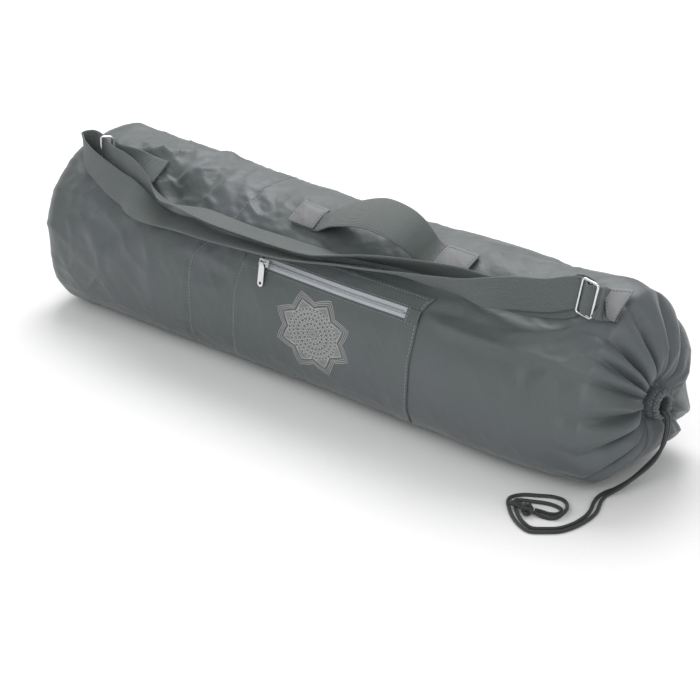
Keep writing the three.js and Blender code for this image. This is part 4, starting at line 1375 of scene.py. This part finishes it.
    def lining(self, shop: Workshop) -> None:
        """Makes the inner side of the cloth, from the base to the mouth."""
        around = np.linspace(-180.0, 180.0, self.lining_columns + 1)
        half = SKIN.length / 2
        end_rim = SKIN.point(1.0, around, -self.lining_rim)
        rings = self.base_caps(SKIN.point(0.0, around, -self.lining_corner), self.lining_base)
        for along in np.linspace(0, 1, self.lining_rows):
            rings.append(SKIN.point(along, around, -self.lining_gap - 3 * along**8))
        crest, _ = self.crest(around)
        for reach, out, pleat in self.mouth_rings:
            centre = self.mouth_height + (SKIN.middle - self.mouth_height) * reach
            ring = self.cap(end_rim, reach * 0.94, half + self.mouth_depth * out - self.lining_mouth, centre)
            ring[:, 0] -= self.mouth_depth * pleat * (0.85 - 1.1 * crest)
            rings.append(ring)
        rings.append(self.mouth_ring(half + self.mouth_depth - self.casing_reach, self.mouth_radius, around))
        rows = np.array(rings)
        rows[..., 2] = np.maximum(rows[..., 2], self.lining_floor)
        shell = Shell("bag_lining")
        shell.add(rows, flat_map(SKIN.arc(around), row_lengths(rows)))
        shell.weld()
        bmesh.ops.reverse_faces(shell.bm, faces=shell.bm.faces)
        shop.hand_over(shell, "lining")

    def sewing(self, shop: Workshop) -> None:
        """Sews the side seam and the casing."""
        shell = Shell("body_stitching")
        angles = np.linspace(-120, 128, 160)
        stitch_row(shell, SKIN.point(SKIN.share_of(SKIN.seam_x(angles) + 5.0), angles, 0.25))
        angles = np.linspace(-145, 145, 60)
        for lift, x in self.casing_seams:
            stitch_row(shell, self.mouth_ring(x, self.mouth_radius + lift, angles))
        shop.hand_over(shell, "thread")


# The front pocket and its zip


@dataclass(frozen=True)
class FrontPocket:
    """Patch pocket with a zip across its top and a printed rosette."""

    seat: float = 0.35
    sheet: float = 0.9
    zip_around: float = 60.6
    zip_from: float = -45.0
    zip_to: float = 137.0
    tape_width: float = 6.4
    coil_width: float = 1.4
    top: float = 47.3
    bottom: float = 132.0
    left: tuple[tuple[float, float], ...] = ((55, 0.404), (75, 0.387), (95, 0.38), (132, 0.372))
    right: tuple[tuple[float, float], ...] = ((46, 0.744), (54, 0.731), (76, 0.727), (132, 0.709))
    teeth_pitch: float = 1.5
    tooth: Vec3 = (0.62, 2.3, 1.3)
    tooth_bevel: float = 0.16

    def sides(self, around: np.ndarray) -> Pair:
        """Returns where the pocket starts and ends, from 0 to 1 along the bag."""
        return tuple(
            smoothed([row[0] for row in table], np.array([row[1] for row in table]), around)
            for table in (self.left, self.right)
        )

    def patch(self, start: float, end: float, rows: int, columns: int) -> Pair:
        """Spreads a grid over part of the pocket.

        Args:
            start: Upper angle.
            end: Lower angle.
            rows: Steps along.
            columns: Steps around.

        Returns:
            Along and around, by row and column.
        """
        around = np.linspace(start, end, columns + 1)[None, :]
        share = np.linspace(0, 1, rows + 1)[:, None]
        first, last = self.sides(around)
        along = first + (last - first) * share
        return np.broadcast_arrays(along, around)

    def build(self, shop: Workshop) -> None:
        """Makes the pocket's cloth, its zip, its sewing and its print."""
        coil = SKIN.angle(self.coil_width)
        tape = SKIN.angle(self.tape_width)
        for name, start, end, columns in (
            ("band", self.top, self.zip_around - coil - tape * 0.62, 8),
            ("panel", self.zip_around + coil + tape * 0.55, self.bottom, 58),
        ):
            along, around = self.patch(start, end, 90, columns)
            shell = Shell(f"pocket_{name}_cloth")
            self.cloth(shell, along, around)
            shell.close()
            shop.hand_over(shell, "nylon", f"pocket_{name}")
        self.zip_ends(shop, coil, tape)
        self.tapes(shop, coil, tape)
        self.teeth(shop)
        self.sewing(shop, coil, tape)
        Rosette().build(shop)

    def cloth(self, shell: Shell, along: np.ndarray, around: np.ndarray) -> None:
        """Adds pocket cloth whose edge by the zip is turned under and slightly raised."""
        near_zip = hump(around - self.zip_around, 5.0)
        pucker = 0.25 * np.sin(along * SKIN.length / 3.1 + 2 * np.sin(along * 60)) * near_zip
        skin_sheet(shell, along, around, self.seat + 0.7 * near_zip + pucker, self.sheet)

    def zip_ends(self, shop: Workshop, coil: float, tape: float) -> None:
        """Covers the tapes beyond both ends of the opening."""
        shell = Shell("pocket_end_cloth")
        low, high = self.zip_around - coil - tape * 0.66, self.zip_around + coil + tape * 0.6
        for start, end in ((None, self.zip_from), (self.zip_to, None)):
            around = np.linspace(low, high, 13)[None, :]
            first, last = self.sides(around)
            begin = first if start is None else SKIN.share_of(start)
            finish = last if end is None else SKIN.share_of(end)
            along = begin + (finish - begin) * np.linspace(0, 1, 9)[:, None]
            along, around = np.broadcast_arrays(along, around)
            skin_sheet(shell, along, around, self.seat + 1.75, 0.8)
        shell.close()
        shop.hand_over(shell, "nylon")

    def tapes(self, shop: Workshop, coil: float, tape: float) -> None:
        """Makes the two woven tapes."""
        for name, start, end in (
            ("upper", self.zip_around - coil - tape, self.zip_around - coil * 0.55),
            ("lower", self.zip_around + coil * 0.55, self.zip_around + coil + tape),
        ):
            along = np.linspace(SKIN.share_of(self.zip_from - 6), SKIN.share_of(self.zip_to + 6), 90)[:, None]
            around = np.linspace(start, end, 6)[None, :]
            along, around = np.broadcast_arrays(along, around)
            shell = Shell(f"woven_tape_{name}")
            skin_sheet(shell, along, around, self.seat - 0.1, 0.9)
            shell.close()
            shop.hand_over(shell, "tape", f"zip_tape_{name}")

    def teeth(self, shop: Workshop) -> None:
        """Sets the closed teeth, each a small rounded block, from alternate sides."""
        shell = Shell("zip_teeth")
        count = int((self.zip_to - self.zip_from - 8) / self.teeth_pitch * 2)
        for index in range(count):
            x = self.zip_from + 5 + index * self.teeth_pitch / 2
            side = 1 if index % 2 else -1
            along = SKIN.share_of(x)
            around = self.zip_around + side * SKIN.angle(0.55)
            spot = SKIN.point(along, around, self.seat + 1.15)
            out = Vector(SKIN.outward(np.array(along), np.array(around)))
            across = out.cross(Vector((1, 0, 0)))
            turn = Matrix((Vector((1, 0, 0)), across, out)).transposed().to_4x4()
            size = Matrix.Diagonal((*(side * MM for side in self.tooth), 1.0))
            place = Matrix.Translation(Vector(spot) * MM) @ turn @ size
            made = bmesh.ops.create_cube(shell.bm, size=1.0, matrix=place, calc_uvs=True)
            edges = list({edge for vert in made["verts"] for edge in vert.link_edges})
            bmesh.ops.bevel(
                shell.bm,
                geom=edges,
                offset=self.tooth_bevel * MM,
                segments=1,
                profile=0.5,
                affect="EDGES",
                material=-1,
            )
        shop.hand_over(shell, "teeth", "zip_coil")

    def sewing(self, shop: Workshop, coil: float, tape: float) -> None:
        """Sews the pocket's sides, its top and both sides of the zip."""
        shell = Shell("pocket_stitching")
        lift = self.seat + self.sheet + 0.15
        inset = 2.4 / SKIN.length
        angles = np.linspace(50.0, 131.0, 90)
        first, last = self.sides(angles)
        ends = 2.2 * np.exp(-(((angles - self.zip_around) / 4.5) ** 4))
        stitch_row(shell, SKIN.point(first + inset, angles, lift + 0.5 * ends))
        stitch_row(shell, SKIN.point(last - inset, angles, lift + 0.5 * ends))
        for around, extra in (
            (49.0, 0.0),
            (self.zip_around - coil - tape * 0.85, 0.6),
            (self.zip_around + coil + tape * 0.85, 0.6),
        ):
            line = np.full(90, around)
            start, end = self.sides(line)
            share = np.linspace(0.02, 0.985, 90)
            along = start + (end - start) * share
            stitch_row(shell, SKIN.point(along, line, lift + extra))
        for x in (self.zip_from - 2.0, self.zip_to + 2.0):
            line = np.linspace(self.zip_around - 4.2, self.zip_around + 4.2, 12)
            stitch_row(shell, SKIN.point(SKIN.share_of(x), line, self.seat + 2.65))
        shop.hand_over(shell, "thread")


@dataclass(frozen=True)
class Rosette:
    """A traditional eight-pointed rosette of rings and petals, printed on the pocket."""

    x: float = 27.0
    z: float = 77.0
    half_width: float = 49.0
    half_height: float = 40.0
    lift: float = 1.45
    line: float = 0.6
    rings: tuple[float, ...] = (0.03, 0.06, 0.085, 0.15, 0.175, 0.27, 0.3, 0.4, 0.425, 0.51, 0.535, 0.62)
    petal_rows: tuple[tuple[int, float, float], ...] = (
        (8, 0.085, 0.145), (16, 0.175, 0.265), (16, 0.175, 0.23), (24, 0.3, 0.395), (24, 0.3, 0.355),
        (32, 0.425, 0.505), (32, 0.425, 0.47), (40, 0.54, 0.615), (40, 0.54, 0.58),
    )

    def build(self, shop: Workshop) -> None:
        """Prints every line of the rosette."""
        shell = Shell("pocket_rosette")
        for radius in self.rings:
            self.ring(shell, radius)
        for count, low, high in self.petal_rows:
            self.petals(shell, count, low, high, 0.9)
        self.spokes(shell, 56, 0.515, 0.532)
        self.spokes(shell, 40, 0.27, 0.3)
        for shrink in (0.0, 0.03, 0.06, 0.11):
            self.petals(shell, 8, 0.76 - 1.3 * shrink, 1.0 - 1.9 * shrink, 0.86)
        self.fans(shell)
        shop.hand_over(shell, "print")

    def print_line(self, shell: Shell, radius: np.ndarray, angle: np.ndarray) -> None:
        """Prints one line given by its radius and angle."""
        wide, high = radius * np.cos(angle) * self.half_width, radius * np.sin(angle) * self.half_height
        spots = np.stack([wide, high], axis=-1)
        path = unit(np.gradient(spots, axis=0))
        side = np.stack([-path[:, 1], path[:, 0]], axis=-1) * self.line / 2
        rows = []
        for edge in (spots - side, spots + side):
            along = SKIN.share_of(self.x + edge[:, 0])
            around = SKIN.front_angle(along, self.z + edge[:, 1])
            rows.append(np.stack([along, around], axis=-1))
        grid = np.stack(rows, axis=1)
        points = SKIN.point(grid[..., 0], grid[..., 1], self.lift)
        flat = np.stack([points[..., 0], points[..., 2]], axis=-1)
        shell.add(points, flat)

    def ring(self, shell: Shell, radius: float) -> None:
        """Prints a ring."""
        angle = np.linspace(0, 2 * math.pi, 72)
        self.print_line(shell, np.full(72, radius), angle)

    def petals(self, shell: Shell, count: int, low: float, high: float, bow: float) -> None:
        """Prints a ring of pointed petals."""
        steps = 14 if count < 12 else 6
        share = np.linspace(-1, 1, 2 * steps + 1)
        rise = 1 - np.abs(share) ** bow
        for index in range(count):
            angle = (index + share / 2) / count * 2 * math.pi + math.pi / 8
            self.print_line(shell, low + (high - low) * rise, angle)

    def spokes(self, shell: Shell, count: int, low: float, high: float) -> None:
        """Prints a ring of short spokes."""
        for index in range(count):
            angle = np.full(3, index / count * 2 * math.pi)
            self.print_line(shell, np.linspace(low, high, 3), angle)

    def fans(self, shell: Shell) -> None:
        """Prints small fans of lines in the eight points."""
        for index in range(8):
            centre = index / 8 * 2 * math.pi + math.pi / 8
            for turn in np.linspace(-0.33, 0.33, 15):
                high = 0.83 - 0.55 * abs(turn)
                radius = np.linspace(0.625, high, 5)
                self.print_line(shell, radius, centre + turn * np.linspace(1.1, 0.8, 5))


# Carry handle and cloth patches


@dataclass(frozen=True)
class CarryHandle:
    """The short webbing grip, sewn down at both ends under cloth patches."""

    around: float = 21.0
    width: float = 30.0
    thick: float = 1.7
    seat: float = 0.6
    patch_gap: float = 0.9
    arch: tuple[tuple[float, float], ...] = (
        (0.450, 0.3), (0.470, 0.3), (0.488, 0.5), (0.500, 2.2), (0.516, 8.5), (0.536, 17.5), (0.562, 25.5),
        (0.587, 32), (0.607, 35), (0.630, 34), (0.652, 30), (0.669, 23), (0.682, 13), (0.692, 4.2),
        (0.700, 0.9), (0.714, 0.3), (0.740, 0.3), (0.760, 0.3),
    )
    patches: tuple[tuple[str, float, float, float], ...] = (
        ("left", 0.443, 0.492, 21.4), ("right", 0.709, 0.764, 20.2),
    )

    def build(self, shop: Workshop) -> None:
        """Makes the grip, its patches and their sewing."""
        half = SKIN.angle(self.width / 2)
        columns = []
        for turn in np.linspace(-half, half, 13):
            route = []
            for along, lift in self.arch:
                follow = max(0.0, 1.0 - lift / 6.0)
                crown = 0.02 * max(lift - 8, 0) * (1 - (turn / half) ** 2)
                height = lift + crown + self.seat + self.thick / 2
                route.append(SKIN.point(along, self.around + turn, height, follow))
            columns.append(catmull_rom(route, 8))
        shell = Shell("webbing_grip")
        band(shell, np.stack(columns, axis=1), self.thick)
        shell.close()
        shop.hand_over(shell, "webbing", "carry_handle")
        sewing = Shell("handle_stitching")
        wide = SKIN.angle(self.width / 2 - 1)
        seat = self.seat + self.thick + self.patch_gap
        for name, start, end, centre in self.patches:
            low, high = centre - wide, centre + wide
            corners = ((start, low), (end, low), (end, high), (start, high))
            cloth_patch(shop, f"handle_cloth_{name}", corners, seat, f"handle_patch_{name}")
            patch_sewing(sewing, corners, seat + PATCH_SHEET + 0.2)
        for along in (0.4945, 0.705):
            line = np.linspace(self.around - half + 0.6, self.around + half - 0.6, 14)
            lift = self.seat + self.thick + (1.35 if along < 0.6 else 0.85)
            stitch_row(sewing, SKIN.point(np.full(14, along), line, lift))
        shop.hand_over(sewing, "thread")


def cloth_patch(
    shop: Workshop, name: str, corners: Corners, seat: float, node: str, detail: float = 0.55,
) -> None:
    """Makes a four-cornered patch with a folded edge and slightly sunk sewing.

    Args:
        shop: The workshop.
        name: Name of the piece.
        corners: Its corners, as along and around.
        seat: Height of its underside over the cloth.
        node: Node that it stands for.
        detail: Share of the cloth's relief that it follows.
    """
    along, around = corner_grid(corners, 26, 22, 0.035)
    u, v = np.meshgrid(np.linspace(-1, 1, 27), np.linspace(-1, 1, 23), indexing="ij")
    edge = np.maximum(np.abs(u), np.abs(v))
    sewn = -0.28 * hump(edge - 0.84, 0.05)
    pillow = 0.35 * (1 - edge**2) + 0.18 * np.sin(u * 21) * hump(edge - 0.9, 0.12)
    shell = Shell(name)
    skin_sheet(shell, along, around, seat + sewn + pillow, PATCH_SHEET, detail)
    shell.close()
    shop.hand_over(shell, "patch", node)


def patch_sewing(shell: Shell, corners: Corners, lift: float, detail: float = 0.55) -> None:
    """Sews round a patch, a little inside its edge.

    Args:
        shell: Mesh that takes the stitches.
        corners: The patch's corners, as along and around.
        lift: Height over the cloth.
        detail: Share of the cloth's relief that it follows.
    """
    table = np.array(corners)
    middle = table.mean(axis=0)
    inner = [tuple(middle + (corner - middle) * 0.84) for corner in table]
    for start, end in zip(inner, inner[1:] + inner[:1]):
        stitch_row(shell, skin_line(start, end, lift, detail))


# Shoulder strap


@dataclass(frozen=True)
class ShoulderStrap:
    """The long webbing: sewn at the mouth, through the buckle, along the front, round the ring and back."""

    width: float = 30.0
    thick: float = 1.7
    patch: tuple[tuple[float, float], ...] = ((0.993, 23), (1.006, 24), (1.003, 3.5), (0.965, 9))
    buckle: Vec3 = (0.9652, -43.5, 179.0)
    buckle_path: Vec3 = (0.98, 0.0, -0.2)
    buckle_across: Vec3 = (-0.2, 0.0, -0.98)
    ring: Vec3 = (0.0797, -53.4, 179.0)
    ring_across: Vec3 = (0.755, 0.656, 0.0)
    wire: float = 2.4
    wire_depth: float = 1.8
    buckle_length: float = 18.0
    ring_length: float = 13.0
    gap: float = 0.3
    seat: float = 0.6
    patch_gap: float = 4.4
    end_gap: float = 2.8
    front: tuple[tuple[float, float, float, float], ...] = (
        (0.904, 25.5, 12.3, -46), (0.864, 31.2, 14.1, -43), (0.833, 37.0, 18.0, -53),
        (0.804, 40.2, 21.9, -77), (0.770, 41.2, 21.5, -91), (0.723, 43.2, 21.1, -97),
        (0.681, 43.8, 18.7, -108), (0.636, 44.8, 17.3, -115), (0.586, 47.5, 18.0, -111),
        (0.533, 51.0, 17.8, -109), (0.483, 53.2, 17.8, -111), (0.423, 54.5, 17.9, -113),
        (0.343, 55.5, 16.5, -118), (0.290, 55.2, 15.5, -124),
    )
    turn: tuple[tuple[float, float, float, float], ...] = (
        (0.241, -80, 141.49, 8), (0.206, -82.51, 146, 25), (0.183, -81.49, 151, 44),
        (0.157, -76.01, 155, 62), (0.132, -73, 157, 70), (0.104, -70.5, 162, 79),
        (0.078, -67.49, 166.5, 86), (0.054, -63.5, 171, 89), (0.036, -58, 175.51, 90),
        (0.026, -50.5, 178, 90), (0.035, -44.5, 179.5, 90), (0.054, -45.99, 179.99, 90),
        (0.079, -53.49, 179, 90), (0.104, -59.99, 177, 91), (0.132, -62.01, 174.99, 92),
        (0.161, -64.5, 170.51, 95), (0.188, -66.5, 163.99, 110), (0.214, -67.49, 159.01, 136),
        (0.241, -73, 156.5, 150), (0.274, -76.01, 159.51, 160), (0.307, -77, 160, 170),
        (0.352, -78.5, 158.49, 174),
    )
    back: tuple[tuple[float, float, float, float], ...] = (
        (0.402, 47.6, 19.5, 61), (0.453, 47.2, 19.3, 59), (0.503, 46.7, 19.3, 59),
        (0.545, 45.8, 20.0, 61), (0.590, 43.0, 18.6, 70), (0.628, 40.2, 17.2, 76),
        (0.679, 37.8, 17.4, 81), (0.741, 36.0, 16.4, 94), (0.786, 34.2, 13.4, 105),
        (0.824, 33.5, 10.1, 115), (0.864, 30.5, 6.4, 127), (0.904, 26.0, 6.1, 131),
        (0.930, 21.5, 6.6, 131),
    )

    def lifted(self, along: float, around: float, lift: float, tilt: float) -> Pair:
        """Returns the edges of a row that is lifted and tilted off the plain section."""
        middle = SKIN.plain(along, around, lift)
        out = SKIN.outward(np.array(along), np.array(around))
        round_way = np.array([0.0, -out[2], out[1]])
        side = round_way * math.cos(math.radians(tilt)) + out * math.sin(math.radians(tilt))
        return middle - side * self.width / 2, middle + side * self.width / 2

    def placed(self, along: float, y: float, z: float, rise: float) -> Pair:
        """Returns the edges of a row given by its middle and its slope."""
        side = np.array([0.0, math.cos(math.radians(rise)), math.sin(math.radians(rise))])
        middle = np.array([SKIN.x_of(along), y, z])
        return middle - side * self.width / 2, middle + side * self.width / 2

    def in_buckle(self, path: float, face: float, swapped: bool = False) -> Pair:
        """Returns the edges of a row in the buckle's own frame."""
        along, y, z = self.buckle
        centre = np.array([SKIN.x_of(along), y, z])
        middle = centre + unit(np.array(self.buckle_path)) * path + np.array([0.0, -1.0, 0.0]) * face
        side = unit(np.array(self.buckle_across)) * self.width / 2
        return (middle + side, middle - side) if swapped else (middle - side, middle + side)

    def rows(self) -> list[Pair]:
        """Returns the edges of every row of the strap, from its patch to the buckle's middle bar."""
        passing = self.wire_depth / 2 + 3 * self.gap + self.thick / 2
        pitch = (self.buckle_length - self.wire) / 2
        a, b, c, d = (np.array(corner, float) for corner in self.patch)
        found = []
        for u in (0.9, 0.5, -0.06):
            near_edge, far_edge = a + (b - a) * u, d + (c - d) * u
            near = near_edge + (far_edge - near_edge) * 0.06
            far = near_edge + (far_edge - near_edge) * 0.94
            lift = self.seat + self.thick / 2 + self.end_gap
            found.append((SKIN.point(*far, lift, 0.0), SKIN.point(*near, lift, 0.0)))
        for path, face in (
            (pitch + 4, -passing - 2), (pitch + 1.2, -passing - 1), (pitch / 2, 0), (0, passing + 0.4),
            (-pitch / 2, 0), (-pitch, -passing - 0.4), (-pitch - 3, -passing - 0.6),
        ):
            found.append(self.in_buckle(path, face))
        found.extend(self.lifted(*row) for row in self.front)
        found.extend(self.placed(*row) for row in self.turn)
        found.extend(self.lifted(*row) for row in self.back)
        found.append(self.in_buckle(-pitch - 3, -passing - 5.7, True))
        found.append(self.in_buckle(-3, -passing - 5.3, True))
        return found

    def webbing(self, shell: Shell, rows: Sequence[Pair], steps: int) -> None:
        """Adds flat webbing through rows of edges.

        Args:
            shell: Mesh that takes it.
            rows: Edges of each row.
            steps: Steps between two rows.
        """
        edge_a = catmull_rom([row[0] for row in rows], steps)
        edge_b = catmull_rom([row[1] for row in rows], steps)
        middle = (edge_a + edge_b) / 2
        path = unit(np.gradient(middle, axis=0))
        normal = unit(np.cross(path, unit(edge_b - edge_a)))
        across = unit(np.cross(normal, path))
        share = np.linspace(-0.5, 0.5, 13)
        place = share[None, :, None] * (self.width - self.thick)
        bow = 0.1 * (1 - (2 * share[None, :, None]) ** 2)
        band(shell, middle[:, None] + across[:, None] * place + normal[:, None] * bow, self.thick)

    def build(self, shop: Workshop) -> None:
        """Makes the strap, its patch, tab, buckle and ring."""
        shell = Shell("webbing_strap")
        self.webbing(shell, self.rows(), 6)
        shell.close()
        shop.hand_over(shell, "webbing", "shoulder_strap")
        seat = self.seat + self.thick + self.patch_gap
        cloth_patch(shop, "strap_cloth", self.patch, seat, "strap_patch", 0.0)
        sewing = Shell("strap_stitching")
        patch_sewing(sewing, self.patch, seat + PATCH_SHEET + 0.25, 0.0)
        shop.hand_over(sewing, "thread")
        self.tab(shop)
        self.hardware(shop)

    def tab(self, shop: Workshop) -> None:
        """Makes the tab that holds the ring."""
        rows = [self.placed(0.092, -49.3, 179.0, 90), self.placed(0.108, -52.2, 177.5, 92)]
        for along, around, lift, tilt in ((0.150, 28.0, 2.6, 178), (0.175, 27.0, 1.8, 180)):
            rise = float(SKIN.fold_rise(np.array(along), np.array(around)))
            rows.append(self.lifted(along, around, lift + rise, tilt))
        shell = Shell("ring_webbing")
        self.webbing(shell, rows, 10)
        shell.close()
        shop.hand_over(shell, "webbing", "strap_tab")

    def loop(self, length: float, width: float) -> np.ndarray:
        """Returns the middle line of a rounded wire frame in its own plane."""
        radius = self.wire * 0.95
        half_x, half_y = (length - self.wire_depth) / 2 - radius, (width - self.wire_depth) / 2 - radius
        points = []
        for corner, (sx, sy) in enumerate(((1, -1), (1, 1), (-1, 1), (-1, -1))):
            for angle in np.linspace(-90 + 90 * corner, 90 * corner, 7):
                turned = math.radians(angle)
                x = sx * half_x + radius * math.cos(turned)
                y = sy * half_y + radius * math.sin(turned)
                points.append((x, y, 0.0))
        points.append(points[0])
        line = np.array(points)
        run = run_along(line)
        return on_line(line, run, np.unique(np.concatenate([run, np.linspace(0, run[-1], 60)])))

    def hardware(self, shop: Workshop) -> None:
        """Bends the wire of the buckle and of the ring."""
        inside = self.width + 2 * self.gap
        down = np.array([0.0, 1.0, 0.0])
        path, across = unit(np.array(self.buckle_path)), unit(np.array(self.buckle_across))
        frames = (
            (
                "wire_buckle", "strap_buckle", self.buckle, self.buckle_length, inside + 0.4,
                path, across, down,
            ),
            (
                "wire_ring", "strap_ring", self.ring, self.ring_length, inside + 0.6,
                unit(np.array(self.ring_across)), np.array([0.0, 0.0, 1.0]), np.array([0.656, -0.755, 0.0]),
            ),
        )
        for name, node, centre, length, width, x_way, y_way, z_way in frames:
            middle = np.array([SKIN.x_of(centre[0]), centre[1], centre[2]])
            line = self.loop(length, width + 2 * self.wire)
            route = middle + line[:, :1] * x_way + line[:, 1:2] * y_way + line[:, 2:] * z_way
            shell = Shell(name)
            tube(shell, route, self.wire_depth / 2 + 0.25, 14, closed=True)
            if node == "strap_buckle":
                reach = (width + self.wire) / 2 + 0.4
                bar = middle + np.linspace(-reach, reach, 24)[:, None] * y_way
                tube(shell, bar, self.wire_depth / 2 - 0.05, 12)
            shell.close()
            shop.hand_over(shell, "metal", node)


def dress_zip_pull(shop: Workshop, frame: dict) -> None:
    """Gives the slider and its pull their metal."""
    for node in ("zip_slider", "zip_pull"):
        piece = frame["nodes"][node]
        for slot in piece.material_slots:
            slot.material = shop.materials["metal"]


def main() -> None:
    """Builds the bag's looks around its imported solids."""
    logging.basicConfig(level=logging.INFO, format="%(name)s: %(message)s")
    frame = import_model()
    Studio().build()
    shop = Workshop()
    Drawcord().build(shop)
    BagCloth().build(shop)
    FrontPocket().build(shop)
    CarryHandle().build(shop)
    ShoulderStrap().build(shop)
    dress_zip_pull(shop, frame)


if __name__ == "__main__":
    main()
